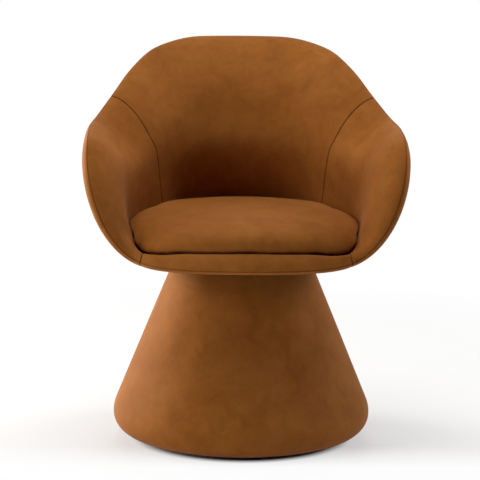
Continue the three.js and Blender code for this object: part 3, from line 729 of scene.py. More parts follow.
PAD_STATIONS = [PadStation(*row) for row in (
    (0.00, 0.40, 0.40, 0.40, 0.13, 0.0),
    (0.14, 0.37, 0.37, 0.37, 0.13, 0.4),
    (0.20, 0.29, 0.29, 0.30, 0.15, 1.5),
    (0.25, 0.25, 0.26, 0.28, 0.25, 2.0),
    (0.30, 0.29, 0.41, 0.50, 0.65, 0.8),
    (0.37, 0.40, 0.66, 0.76, 1.25, 0.0),
    (0.46, 0.46, 0.80, 0.90, 1.50, 0.0),
    (0.56, 0.60, 0.97, 0.84, 1.35, 0.0),
    (0.67, 0.82, 1.06, 0.84, 1.20, 0.0),
    (0.84, 0.90, 1.10, 0.48, 1.05, 0.0),
    (1.00, 0.90, 1.10, 0.40, 1.00, 0.0),
)]

CUSHION_RISE = ((0.00, 0.70), (0.12, 0.74), (0.32, 1.05), (0.46, 1.05), (0.66, 0.66), (1.00, 0.48))

CUSHION_EDGE = (
    (0.00, 0.78), (0.20, 0.72), (0.27, 0.42), (0.34, 0.30), (0.42, 0.22),
    (0.50, 0.20), (0.62, 0.17), (0.80, 0.13), (1.00, 0.12),
)


@dataclass(frozen=True)
class TubSkin:
    """The outside of the tub and the layers under it, by station round it and level up it."""

    rim_height: float = 0.798
    belt_height: float = 0.600
    bottom: float = 0.372
    half_width: float = 0.319
    widest_y: float = -0.080
    back_reach: float = 0.340
    front_reach: float = 0.499
    back_slope: float = 0.117
    shoulder_draw: float = 0.035
    side_foot: float = 0.59
    back_foot: float = 0.74
    front_foot: float = 0.217
    belly_power: float = 2.0
    foot_power: float = 1.66
    back_power: float = 2.1
    front_power: float = 2.8
    draw_power: float = 1.05
    belt_ease: float = 0.10
    sweep_power: float = 1.64
    pad_depth: float = 0.100
    nose_length: float = 0.110
    edge_inset: float = 0.012
    edge_round: float = 0.026
    edge_sweep: float = 0.8 * QUARTER_TURN
    longest_round: float = 0.5
    soft_least: float = 0.12
    lift_start: float = 0.2
    pad_least: float = 0.15
    edge_slack: float = 0.00006
    tuck: float = 0.50
    tuck_levels: tuple[float, float] = (0.18, 0.51)
    tuck_stations: tuple[float, float] = (0.64, 0.86)
    pad_levels: tuple[float, float, float] = (0.25, 0.62, 1.0)
    seat_gap: float = 0.0003
    cushion_gap: float = 0.0008
    soft_patch: tuple[float, float] = (0.022, 0.05)
    fine_patch: tuple[float, float] = (0.001, 0.001)
    outer_crowding: float = 2.2
    inner_crowding: float = 2.4
    edge_samples: int = 401
    curves: dict = field(default_factory=dict)
    edge_line: np.ndarray | None = None

    def __post_init__(self) -> None:
        """Fits the smooth curves through the stations."""
        for stations, keys in ((EDGE_STATIONS, ("edge_angle", "foot_angle", "rise", "seam_depth")),
                               (PAD_STATIONS, ("low", "mid", "top", "nose", "lift"))):
            for key in keys:
                values = [getattr(station, key) for station in stations]
                self.curves[key] = SmoothCurve([s.at for s in stations], values, goes_on=key.endswith("angle"))
        self.curves["cushion"] = SmoothCurve(*zip(*CUSHION_EDGE))
        self.curves["cushion rise"] = SmoothCurve(*zip(*CUSHION_RISE))
        object.__setattr__(self, "edge_line", self.point(np.linspace(0, 2, self.edge_samples), 1.0))

    @staticmethod
    def folded(station: np.ndarray) -> np.ndarray:
        """The station's match on the right-hand side."""
        return np.where(station > 1, 2 - station, np.abs(station))

    def bell(self, height: np.ndarray, foot: float) -> np.ndarray:
        """How far the belly reaches at a height, as a share of its reach at the belt."""
        drop = np.clip((self.belt_height - height) / (self.belt_height - self.bottom), 0, 1)
        return foot + (1 - foot) * (1 - drop ** self.belly_power) ** (1 / self.foot_power)

    def point(self, station: np.ndarray, level: np.ndarray) -> np.ndarray:
        """Points of the outside.

        Args:
            station: 0 at the middle of the front, 1 at the middle of the back, past 1 on the left.
            level: 0 at the foot and 1 at the free edge.

        Returns:
            The points, with x, y and z last.
        """
        station, level = np.broadcast_arrays(np.asarray(station, float), np.asarray(level, float))
        s = self.folded(station)
        side = np.where((station < 0) | (station > 1), -1.0, 1.0)
        height = self.bottom + (self.rim_height - self.bottom) * self.curves["rise"](s) * level
        turn = np.radians(lerp(self.curves["foot_angle"](s), self.curves["edge_angle"](s),
                               np.maximum(level, 0) ** self.sweep_power))
        c, q = np.cos(turn), np.sin(turn)
        power = np.where(q < 0, self.front_power, self.back_power)
        reach = (np.abs(c) ** power + np.abs(q) ** power) ** (-1 / power)
        above = (height - self.belt_height) / (self.rim_height - self.belt_height)
        width = self.half_width * self.bell(height, self.side_foot)
        raised = (above + np.sqrt(above ** 2 + self.belt_ease ** 2)) / 2
        width = width - self.shoulder_draw * raised ** self.draw_power
        front = self.front_reach * self.bell(height, self.front_foot)
        back = self.back_reach * self.bell(height, self.back_foot) + self.back_slope * (height - self.belt_height)
        depth = np.where(q < 0, front, back)
        return np.stack([width * reach * c * side, self.widest_y + depth * reach * q, height], axis=-1)

    def normal(self, station: np.ndarray, level: np.ndarray, reach: float, rise: float) -> np.ndarray:
        """Outward normals, taken over a patch that reaches this far in stations and levels."""
        station, level = np.broadcast_arrays(np.asarray(station, float), np.asarray(level, float))
        along = self.point(station + reach, level) - self.point(station - reach, level)
        up = self.point(station, level + rise) - self.point(station, np.maximum(level - rise, 0))
        return unit(np.cross(along, up))

    def inward(self, station: np.ndarray, level: np.ndarray, depth: np.ndarray, is_soft: bool) -> np.ndarray:
        """Points at a depth under the outside, square to it, or square to its softened form for padding."""
        if is_soft:
            normal = self.normal(station, np.maximum(level, self.soft_least), *self.soft_patch)
            lift = self.curves["lift"](self.folded(np.asarray(station, float)))
            lift = lift * np.clip((1 - level) / self.lift_start, 0, 1)
            normal = unit(normal - np.asarray(lift)[..., None] * (0, 0, 1))
        else:
            normal = self.normal(station, level, *self.fine_patch)
        return self.point(station, level) - normal * np.asarray(depth)[..., None]

    def edge_distance(self, places: np.ndarray) -> np.ndarray:
        """How far points of the outside lie from the free edge, eased where the edge turns a corner."""
        gaps = self.edge_line - places.reshape(-1, 1, 3)
        near, far = gaps[:, :-1], gaps[:, 1:]
        r, q = np.linalg.norm(near, axis=-1), np.linalg.norm(far, axis=-1)
        length = np.linalg.norm(np.diff(self.edge_line, axis=0), axis=-1)
        facing = np.maximum(r * q * (r * q + (near * far).sum(-1)), 1e-24)
        return np.sqrt(2 / (length * (r + q) / facing).sum(axis=1)).reshape(places.shape[:-1])

    def thickness(self, station: np.ndarray, level: np.ndarray) -> np.ndarray:
        """The padded wall's whole depth, which rolls up from the seam on the free edge."""
        s = self.folded(np.asarray(station, float))
        low, mid, top = (self.curves[k](s) * self.pad_depth for k in ("low", "mid", "top"))
        a, b, c = self.pad_levels
        t = np.maximum(level, self.pad_least)
        full = (low * (t - b) * (t - c) / ((a - b) * (a - c))
                + mid * (t - a) * (t - c) / ((b - a) * (b - c))
                + top * (t - a) * (t - b) / ((c - a) * (c - b)))
        under = self.tuck_levels[1] - np.clip(t, *self.tuck_levels)
        full = full - self.tuck * smooth_step(s, *self.tuck_stations) * under ** 2
        reach = self.nose_length * self.curves["nose"](s)
        distance = self.edge_distance(self.point(station, level)) - self.edge_slack
        rest = 1 - np.clip(distance / reach, 0, 1)
        return lerp(self.edge_inset * self.curves["seam_depth"](s), full, np.sqrt(1 - rest ** 2))

    def span(self, station: float) -> float:
        """The length of a station's line from foot to edge, as the crow flies."""
        return float(np.linalg.norm(self.point(station, 1.0) - self.point(station, 0.0)))

    def inset(self, station: float) -> float:
        """How deep the edge seam lies at a station."""
        return float(self.edge_inset * self.curves["seam_depth"](self.folded(np.array(station))))

    def outer_line(self, station: float, depth: float, samples: int = 160) -> np.ndarray:
        """The outside's line at a station, from the foot up to the edge seam, this far inside the outer face."""
        span = self.span(station)
        start = 1 - min(self.edge_round / span, self.longest_round)
        rising = start * np.linspace(0, 1, samples) ** self.outer_crowding
        turn = np.linspace(0, self.edge_sweep, samples // 4)[1:]
        climb = np.sin(turn) / math.sin(self.edge_sweep)
        run = (1 - np.cos(turn)) / (1 - math.cos(self.edge_sweep))
        levels = np.concatenate([rising, lerp(start, 1 - depth / span, climb)])
        depths = np.concatenate([np.full(samples, depth), lerp(depth, self.inset(station), run)])
        return self.inward(np.full(len(levels), station), levels, depths, is_soft=False)

    def inner_line(self, station: float, samples: int = 240) -> np.ndarray:
        """The inside's line at a station, from the edge seam over the padded edge and down to the foot."""
        levels = 1 - np.linspace(0, 1, samples) ** self.inner_crowding
        stations = np.full(samples, station)
        depths = self.thickness(stations, levels) + self.seat_gap
        return self.inward(stations, levels, depths, is_soft=True)


@dataclass(frozen=True)
class SeamRoll:
    """How a panel turns in at a seam: a small round edge with a soft dip behind it, and painted shade along the seam.
    """

    radius: float = 0.0018
    dip: float = 0.0010
    dip_reach: float = 0.010
    shade_reach: float = 0.0010

    def depth(self, distance: np.ndarray) -> np.ndarray:
        """How far a point at this distance from the seam is drawn in."""
        inside = np.clip(self.radius - distance, 0, self.radius)
        turned_in = self.radius - np.sqrt(self.radius ** 2 - inside ** 2)
        return turned_in + self.dip * np.exp(-distance / self.dip_reach)

    def shade(self, distance: np.ndarray) -> np.ndarray:
        """How much painted shade darkens the leather at this distance, from 0 to 1."""
        return np.exp(-((distance / self.shade_reach) ** 2))


def grid_normals(places: np.ndarray) -> np.ndarray:
    """The normals of a grid of points, from its rows and columns."""
    along = np.gradient(places, axis=1)
    up = np.gradient(places, axis=0)
    return unit(np.cross(along, up))


@dataclass(frozen=True)
class PanelSpan:
    """A panel of the tub, from one seam station to the next."""

    name: str
    start: float
    end: float
    replaced: tuple[str, ...]


@dataclass
class TubUpholstery:
    """The tub's outside panels and the padded panels inside it."""

    skin: TubSkin
    finishes: Finishes
    seam: SeamRoll = SeamRoll()
    border_seam: float = 0.235
    back_seam: float = 0.66
    column_step: float = 0.0075
    least_columns: int = 8
    row_count: int = 46
    cover_thick: float = 0.0025
    shell_in: float = 0.0116
    shell_top: float = 0.97
    shell_clear: float = 0.0012
    cover_in: float = 0.0036
    half_gap: float = 0.00012
    guide_level: float = 0.55
    guide_samples: int = 600
    back_samples: int = 80
    back_crowding: float = 1.6
    crease_angle: float = 60

    def stations(self, span: PanelSpan) -> np.ndarray:
        """Stations of a panel's columns, close together at its two seams."""
        fine = np.linspace(span.start, span.end, self.guide_samples)
        runs = run_lengths(self.skin.point(fine, self.guide_level))
        length = runs[-1]
        marks = spaced(length, max(int(length / self.column_step), self.least_columns), tight_end=True)
        marks[0] += self.half_gap
        marks[-1] -= self.half_gap
        return np.interp(marks, runs, fine)

    def rolled(self, places: np.ndarray, outward: float) -> tuple[np.ndarray, np.ndarray]:
        """Turns a panel in at its two side seams and at the edge seam, which is its first row.

        Args:
            places: The panel's grid of points.
            outward: 1 if the grid's normals point out of the leather, or -1.

        Returns:
            The grid with its seams turned in, and how much painted seam shade each point takes.
        """
        from_start = run_lengths(places, axis=1)
        nearest_side = np.minimum(from_start, from_start[:, -1:] - from_start)
        from_edge = run_lengths(places, axis=0)
        depth = np.maximum(self.seam.depth(nearest_side), self.seam.depth(from_edge))
        # painted shade along the side seams and the edge seam, kept for the finish to darken the leather
        shade = np.maximum(self.seam.shade(nearest_side), self.seam.shade(from_edge))
        return places - grid_normals(places) * outward * depth[..., None], shade

    def outer_panel(self, span: PanelSpan) -> Piece:
        """One outside panel, of leather that is turned in at its seams."""
        columns = []
        for station in self.stations(span):
            line = self.skin.outer_line(station, 0.0)[::-1]
            length = run_lengths(line)[-1]
            columns.append(resampled(line, spaced(length, self.row_count)))
        places = np.stack(columns, axis=1)
        placed, shade = self.rolled(places, 1 if self.leans_out(places, grid_normals(places)) else -1)
        piece = woven_sheet(span.name, placed, shade)
        if not self.leans_out(placed, normals_of(piece).reshape(placed.shape)):
            with EditMode(piece, "FACE") as edit:
                edit.flip()
        apply_modifier(piece, "SOLIDIFY", {"thickness": self.cover_thick, "offset": -1.0})
        shade_smooth(piece, self.crease_angle)
        return self.finish(piece, span)

    def inner_pad(self, span: PanelSpan) -> Piece:
        """One padded panel: the leather that shows, and the foam behind it down to the moulded shell."""
        faces, backs = [], []
        for station in self.stations(span):
            line = self.skin.inner_line(station)
            length = run_lengths(line)[-1]
            marks = spaced(length, self.row_count)
            faces.append(resampled(line, marks))
            back = self.back_line(station)
            backs.append(resampled(back, marks / marks[-1] * run_lengths(back)[-1]))
        face = np.stack(faces, axis=1)
        placed, shade = self.rolled(face, -1 if self.leans_out(face, grid_normals(face)) else 1)
        behind = np.stack(backs, axis=1)
        middle = (placed + behind) / 2
        rings = np.concatenate([placed, behind[::-1], placed[:1]], axis=0)
        ends = np.concatenate([middle, middle[::-1], middle[:1]], axis=0)
        rings = np.concatenate([ends[:, :1], rings, ends[:, -1:]], axis=1)
        plain = np.zeros_like(shade)
        shades = np.concatenate([shade, plain, shade[:1]], axis=0)
        shades = np.concatenate([shades[:, :1], shades, shades[:, -1:]], axis=1)
        piece = woven_sheet(span.name, rings, shades)
        close_up(piece)
        shade_smooth(piece, self.crease_angle)
        return self.finish(piece, span)

    def back_line(self, station: float) -> np.ndarray:
        """The line behind a padded panel: over the shell's top, then down its inner face."""
        over = self.skin.outer_line(station, self.cover_in)[::-1]
        span = self.skin.span(station)
        start = 1 - min(self.skin.edge_round / span, self.skin.longest_round)
        top = start * self.shell_top + self.shell_clear / span
        levels = top * (1 - np.linspace(0, 1, self.back_samples) ** self.back_crowding)
        flat = np.ones_like(levels)
        down = self.skin.inward(flat * station, levels, flat * self.shell_in, is_soft=False)
        return np.concatenate([over[over[:, 2] > down[0, 2]], down])

    def leans_out(self, places: np.ndarray, normals: np.ndarray) -> bool:
        """Whether a grid's normals point away from the tub's middle, judged at the grid's own middle."""
        row, column = len(places) // 2, places.shape[1] // 2
        outward = places[row, column] - np.array([0.0, self.skin.widest_y, places[row, column, 2]])
        return bool(normals[row, column] @ outward > 0)

    def finish(self, piece: Piece, span: PanelSpan) -> Piece:
        """Dresses a panel and hands it to the frame."""
        self.finishes.hand_over(piece, Slot.LEATHER, Body.SEAT, *span.replaced)
        return piece

    def build(self) -> list[Piece]:
        """Makes every panel of the tub."""
        seams = (-self.border_seam, self.border_seam, self.back_seam, 2 - self.back_seam, 2 - self.border_seam)
        ends = list(zip(seams, seams[1:]))
        pieces = []
        for side, (start, end) in zip(("front", "right", "back", "left"), ends):
            span = PanelSpan(f"{side}_outer_panel", start, end, (f"outer_cover_{side}",))
            pieces.append(self.outer_panel(span))
        inner = (("front_border_pad", ("front_border_cover", "front_border_foam")),
                 ("right_arm_pad", ("arm_cover_right", "arm_foam_right")),
                 ("back_pad", ("back_cover", "back_foam")),
                 ("left_arm_pad", ("arm_cover_left", "arm_foam_left")))
        for (name, replaced), (start, end) in zip(inner, ends):
            pad = self.inner_pad(PanelSpan(name, start, end, replaced))
            pieces.append(pad)
        return pieces


@dataclass
class SeatCushion:
    """The loose cushion, which fills the tub from wall to wall."""

    skin: TubSkin
    finishes: Finishes
    crown_height: float = 0.480
    middle_y: float = -0.065
    sole_height: float = 0.3986
    front_bulge: float = 0.016
    run_power: float = 2.0
    bulge_end: tuple[float, float] = (0.06, 0.32)
    rounding: int = 26
    guide_level: float = 0.3
    side_rows: int = 9
    crown_rows: int = 30
    sole_shares: tuple[float, ...] = (0.92, 0.6, 0.3, 0.0)
    start_inset: float = 0.001
    voxel: float = 0.005
    pressure: float = 4.0
    frames: int = 20
    cap: float = 0.004
    column_count: int = 240

    def rows(self) -> np.ndarray:
        """The cushion's form, from its crown down to the middle of its sole."""
        stations = np.linspace(0, 2, self.column_count + 1)
        runs = run_lengths(self.skin.point(stations, self.guide_level))
        stations = np.interp(np.linspace(0, runs[-1], self.column_count + 1), runs, stations)
        s = self.skin.folded(stations)
        top = self.skin.curves["cushion"](s)
        sides = []
        for share in np.linspace(1, 0, self.side_rows):
            level = top * share
            depth = self.skin.thickness(stations, level) + self.skin.cushion_gap
            sides.append(self.skin.inward(stations, level, depth, is_soft=True))
        edge = sides[0]
        swell = 1 - smooth_step(s, *self.bulge_end)
        power = self.skin.curves["cushion rise"](s)
        to_middle = np.stack([-edge[:, 0], self.middle_y - edge[:, 1]], axis=-1)
        reach = np.linalg.norm(to_middle, axis=-1)
        crown = []
        for share in np.linspace(1, 0, self.crown_rows)[:-1]:
            out = self.front_bulge * swell * math.sin(share * math.pi) * (1 - share)
            step = to_middle * (share ** self.run_power - out / reach)[:, None]
            height = lerp(edge[:, 2], self.crown_height, math.sin(share * QUARTER_TURN) ** power)
            row = np.column_stack([edge[:, :2] + step, height])
            crown.append(self.rounded_row(row, round(self.rounding * math.sin(share * QUARTER_TURN))))
        sole = []
        for share in self.sole_shares:
            x = sides[-1][:, 0] * share
            y = lerp(self.middle_y, sides[-1][:, 1], share)
            sole.append(np.column_stack([x, y, np.full(len(x), self.sole_height)]))
        return np.stack([*crown, *sides, *sole])

    @staticmethod
    def rounded_row(row: np.ndarray, reach: int) -> np.ndarray:
        """Rounds a closed row's corners by averaging each point with its neighbours."""
        ring = row[:-1]
        steps = range(-reach, reach + 1)
        weights = [1 + reach - abs(step) for step in steps]
        ring = sum(np.roll(ring, step, axis=0) * weight for step, weight in zip(steps, weights)) / sum(weights)
        return np.vstack([ring, ring[:1]])

    def build(self) -> Piece:
        """Makes the cushion, blown up as cloth and then set back on its board."""
        piece = woven_sheet("seat_cushion", self.rows())
        close_up(piece)
        self.plump(piece)
        shade_smooth(piece)
        self.finishes.hand_over(piece, Slot.LEATHER, Body.SEAT, "seat_cushion_cover", "seat_cushion_foam")
        return piece

    def plump(self, piece: Piece) -> None:
        """Lets the cover swell as cloth under pressure, from a slightly smaller form."""
        places = points_of(piece)
        place_points(piece, places - normals_of(piece) * self.start_inset)
        apply_modifier(piece, "REMESH", {"mode": "VOXEL", "voxel_size": self.voxel})
        rest = points_of(piece)
        make_active(piece)
        cloth = piece.modifiers.new("Cover", "CLOTH")
        settings = {"quality": 6, "mass": 0.25, "tension_stiffness": 12, "compression_stiffness": 12,
                    "bending_stiffness": 2.5, "use_pressure": True, "uniform_pressure_force": self.pressure}
        for key, value in settings.items():
            setattr(cloth.settings, key, value)
        cloth.settings.effector_weights.gravity = 0
        cloth.point_cache.frame_end = self.frames
        scene = bpy.context.scene
        for frame in range(1, self.frames + 1):
            scene.frame_set(frame)
        graph = bpy.context.evaluated_depsgraph_get()
        swollen = piece.evaluated_get(graph).to_mesh()
        blown = np.empty(len(swollen.vertices) * 3)
        swollen.vertices.foreach_get("co", blown)
        moves = blown.reshape(-1, 3) - rest
        outward = rest[:, :2] - np.array([0.0, self.middle_y])
        outward /= np.maximum(np.linalg.norm(outward, axis=1, keepdims=True), 1e-9)
        drawn_in = np.minimum((moves[:, :2] * outward).sum(axis=1, keepdims=True), 0)
        moves[:, :2] -= outward * drawn_in
        piece.modifiers.remove(cloth)
        scene.frame_set(1)
        length = np.maximum(np.linalg.norm(moves, axis=1, keepdims=True), 1e-9)
        moves = moves * np.tanh(length / self.cap) * self.cap / length
        settled = rest + moves
        settled[:, 2] = np.maximum(settled[:, 2], self.sole_height)
        place_points(piece, settled)
        apply_modifier(piece, "SUBSURF", {"levels": 1, "render_levels": 1})


# The base


@dataclass
class ConeUpholstery:
    """The padded leather sleeve round the cone, turned in under the foot and over the top."""

    finishes: Finishes
    radius: float = 0.259
    bottom: float = 0.010
    top: float = 0.3656
    slope: float = 0.411
    foot_round: float = 0.050
    top_round: float = 0.016
    top_fold: float = 0.104
    hem: float = 0.190
    thick: float = 0.0083
    wobble: float = 0.0007
    wobble_length: float = 0.12
    sides: int = 144
    loops: int = 44
    seam_steps: tuple[float, ...] = (0.0, 0.0008, 0.0018, 0.0032, 0.006, 0.011)
    seam: SeamRoll = SeamRoll()

    def build(self) -> Piece:
        """Makes the sleeve from a plain cone with rounded rims."""
        lean = math.atan(self.slope)
        foot_centre = self.radius - self.foot_round
        side = foot_centre + self.foot_round * math.cos(lean)
        side_height = self.bottom + self.foot_round * (1 + math.sin(lean))
        wide = side + (side_height - self.bottom) * self.slope
        narrow = side - (self.top - side_height) * self.slope
        foot_reach = self.foot_round / math.tan((QUARTER_TURN - lean) / 2)
        top_reach = self.top_round / math.tan((QUARTER_TURN + lean) / 2)
        deselect_all()
        bpy.ops.mesh.primitive_cone_add(
            vertices=self.sides, radius1=wide, radius2=narrow, depth=self.top - self.bottom,
            location=(0, 0, (self.top + self.bottom) / 2),
        )
        piece = new_piece("cone_upholstery")
        low, high = self.bottom + 1e-4, self.top - 1e-4
        with EditMode(piece) as edit:
            edit.pick("edges", lambda a, b: max(a.z, b.z) < low)
            bpy.ops.mesh.bevel(offset_type="OFFSET", offset=foot_reach, segments=16, profile=0.5, clamp_overlap=False)
            edit.pick("edges", lambda a, b: min(a.z, b.z) > high)
            bpy.ops.mesh.bevel(offset_type="OFFSET", offset=top_reach, segments=8, profile=0.5, clamp_overlap=False)
            edit.pick("edges", lambda a, b: abs(a.z - b.z) > 0.1)
            bpy.ops.mesh.subdivide(number_cuts=self.loops)
        with EditMode(piece, "FACE") as edit:
            edit.pick("faces", lambda middle, normal: normal.z > 0.99 and middle.xy.length < 0.01)
            bpy.ops.mesh.inset(thickness=narrow - top_reach - self.top_fold)
            bpy.ops.mesh.delete(type="FACE")
            edit.pick("faces", lambda middle, normal: normal.z < -0.99 and middle.xy.length < 0.01)
            bpy.ops.mesh.inset(thickness=foot_centre - self.hem)
            bpy.ops.mesh.delete(type="FACE")
            for step in self.seam_steps:
                for place in {step, -step}:
                    edit.pick("faces", lambda middle, normal: middle.y > 0 and abs(middle.x) < 0.03)
                    bpy.ops.mesh.bisect(plane_co=(place, 0, 0), plane_no=(1, 0, 0))
            edit.face_out()
        self.sew(piece)
        uneven(piece, self.wobble, self.wobble_length, (3, 1, 7), (1, 1, 0.6))
        apply_modifier(piece, "SOLIDIFY", {"thickness": self.thick, "offset": -1.0})
        shade_smooth(piece, 50)
        self.finishes.hand_over(piece, Slot.LEATHER, Body.BASE, "base_cover", "base_padding")
        return piece

    def sew(self, piece: Piece) -> None:
        """Draws the sleeve in along its one seam, down the back, and keeps painted shade along it."""
        places, normals = points_of(piece), normals_of(piece)
        distance = np.where(places[:, 1] > 0, np.abs(places[:, 0]), 1.0)
        place_points(piece, places - normals * self.seam.depth(distance)[:, None])
        # painted shade along the seam, for the leather's finish to darken it
        keep_value(piece, "seam", self.seam.shade(distance))


@dataclass
class Glides:
    """The six plastic glides under the cone, each with its nail's recess."""

    finishes: Finishes
    radius: float = 0.0125
    thick: float = 0.006
    circle: float = 0.172
    first_turn: float = math.radians(-120)
    count: int = 6
    edge_round: float = 0.0014
    nail_recess: float = 0.0035
    nail_depth: float = 0.0022
    nail_rim: float = 0.0012

    def build(self) -> list[Piece]:
        """Makes one glide and copies it round its circle."""
        deselect_all()
        bpy.ops.mesh.primitive_cylinder_add(
            vertices=48, radius=self.radius, depth=self.thick, location=(0, 0, self.thick / 2))
        first = new_piece("floor_glide_1")
        with EditMode(first) as edit:
            edit.pick("edges", lambda a, b: max(a.z, b.z) < 1e-5)
            bpy.ops.mesh.bevel(offset=self.edge_round, segments=5, profile=0.5)
        with EditMode(first, "FACE") as edit:
            edit.pick("faces", lambda middle, normal: normal.z < -0.99 and middle.xy.length < 0.002)
            bpy.ops.mesh.inset(thickness=self.radius - self.edge_round - self.nail_recess)
            bpy.ops.mesh.extrude_region_move(TRANSFORM_OT_translate={"value": (0, 0, self.nail_depth)})
            bpy.ops.mesh.inset(thickness=self.nail_rim)
            edit.face_out()
        shade_smooth(first, 35)
        pieces = [first] + [self.copy(first, f"floor_glide_{i + 1}") for i in range(1, self.count)]
        for i, piece in enumerate(pieces):
            turn = self.first_turn + i / self.count * FULL_TURN
            place = Vector((math.cos(turn), math.sin(turn), 0)) * self.circle
            piece.data.transform(Matrix.Translation(place))
            self.finishes.hand_over(piece, Slot.GLIDE, Body.BASE, f"base_glide_{i + 1}")
        return pieces

    @staticmethod
    def copy(piece: Piece, name: str) -> Piece:
        """A copy with its own mesh."""
        twin = piece.copy()
        twin.data = piece.data.copy()
        twin.name = name
        twin.data.name = name
        bpy.context.scene.collection.objects.link(twin)
        return twin


@dataclass
class UndersideCloth:
    """The black cloth under the tub, a ring from round the swivel plate out to the tub's foot."""

    skin: TubSkin
    finishes: Finishes
    height: float = 0.3743
    thick: float = 0.0008
    inset: float = 0.002
    plate_half: float = 0.092
    plate_corner: float = 0.014
    outline_samples: int = 2001
    ripple_scale: float = 14.0
    ripple_height: float = 0.0005
    columns: int = 240
    row_count: int = 26

    def build(self) -> Piece:
        """Makes the cloth as a ring between the plate and the foot, laid in soft ripples."""
        turns = np.linspace(0, FULL_TURN, self.columns + 1)
        foot = self.foot_outline(turns)
        hole = self.plate_outline(turns)
        rows = []
        for share in np.linspace(0, 1, self.row_count):
            flat = lerp(hole, foot, share)
            slack = math.sin(share * math.pi) ** 0.5
            ripple = np.array([noise.noise(Vector((x, y, 5.0))) for x, y in flat * self.ripple_scale])
            rows.append(np.column_stack([flat, self.height + ripple * self.ripple_height * slack]))
        piece = woven_sheet("underside_cloth", np.stack(rows))
        close_up(piece)
        if normals_of(piece)[:, 2].sum() > 0:
            with EditMode(piece, "FACE") as edit:
                edit.flip()
        apply_modifier(piece, "SOLIDIFY", {"thickness": self.thick, "offset": 0.0})
        shade_smooth(piece, 50)
        self.finishes.hand_over(piece, Slot.BLACK_CLOTH, Body.SEAT, "dust_cover")
        return piece

    def foot_outline(self, turns: np.ndarray) -> np.ndarray:
        """The tub's foot as seen from the middle, drawn in a little."""
        stations = np.linspace(0, 2, self.outline_samples)
        places = self.skin.point(stations, 0.0)
        angles = np.unwrap(np.arctan2(places[:, 1], places[:, 0]))
        reach = np.hypot(places[:, 0], places[:, 1]) - self.inset
        start = angles[0]
        wanted = start + (turns - start) % FULL_TURN
        found = np.interp(wanted, angles, reach)
        return np.column_stack([np.cos(turns), np.sin(turns)]) * found[:, None]

    def plate_outline(self, turns: np.ndarray) -> np.ndarray:
        """The rounded square round the swivel plate."""
        c, q = np.abs(np.cos(turns)), np.abs(np.sin(turns))
        square = self.plate_half / np.maximum(c, q)
        centre = self.plate_half - self.plate_corner
        along = (c + q) * centre
        across = 2 * centre ** 2 - self.plate_corner ** 2
        corner = along + np.sqrt(np.maximum(along ** 2 - across, 0))
        on_corner = np.minimum(c, q) * square > centre
        reach = np.where(on_corner, np.minimum(corner, square), square)
        return np.column_stack([np.cos(turns), np.sin(turns)]) * reach[:, None]


class Hardware:
    """The solids that the CAD model already gives the right shape, each with its finish."""

    STEMS = {
        Slot.MOULDING: ("base_shell", "tub_shell"),
        Slot.PLYWOOD: ("base_top_disc", "base_rib", "seat_board"),
        Slot.BLACK_BOARD: ("base_bottom_board",),
        Slot.ZINC_STEEL: ("swivel_lower_plate", "lower_plate_screw", "swivel_washer", "swivel_nut",
                          "swivel_upper_plate", "upper_plate_bolt", "tee_nut"),
        Slot.HARD_STEEL: ("swivel_pin", "swivel_ball"),
        Slot.NYLON: ("swivel_cage", "swivel_bushing"),
    }

    def dress(self, nodes: dict[str, Piece], finishes: Finishes) -> int:
        """Dresses every node that still shows.

        Args:
            nodes: The frame's nodes by name.
            finishes: The chair's finishes.

        Returns:
            How many nodes were dressed.
        """
        slots = {stem: slot for slot, stems in self.STEMS.items() for stem in stems}
        shown = [name for name in sorted(nodes) if not nodes[name].hide_render]
        for name in shown:
            finishes.dress(nodes[name], slots[name.rstrip("0123456789").rstrip("_")])
        return len(shown)


# Studio


@dataclass(frozen=True)
class SoftBox:
    """One soft box, which faces the middle of the chair."""

    name: str
    place: tuple[float, float, float]
    watts: float
    size: tuple[float, float] = (1.2, 1.2)
    tone: tuple[float, float, float] = (1.0, 0.99, 0.97)
    target: tuple[float, float, float] = (0.0, 0.0, 0.4)

    def hang(self) -> None:
        """Adds the light."""
        data = bpy.data.lights.new(self.name, "AREA")
        data.shape = "RECTANGLE"
        data.size, data.size_y = self.size
        data.energy = self.watts
        data.color = self.tone
        light = bpy.data.objects.new(self.name, data)
        aim = Vector(self.target) - Vector(self.place)
        light.matrix_world = Matrix.Translation(self.place) @ aim.to_track_quat("-Z", "Y").to_matrix().to_4x4()
        bpy.context.scene.collection.objects.link(light)


SOFT_BOXES = (
    SoftBox("overhead", (0.0, -0.3, 2.7), 36, (1.4, 1.4), (1.0, 0.995, 0.985)),
    SoftBox("high left", (-2.4, 0.5, 1.5), 29),
    SoftBox("high right", (2.4, 0.5, 1.5), 36),
    SoftBox("front left", (-2.4, -1.6, 1.3), 28),
    SoftBox("rear left", (-2.4, 1.5, 0.7), 78, tone=(1.0, 0.985, 0.96)),
    SoftBox("rear", (0.0, 2.4, 2.3), 14, (2.0, 1.0), (1.0, 1.0, 1.0)),
)


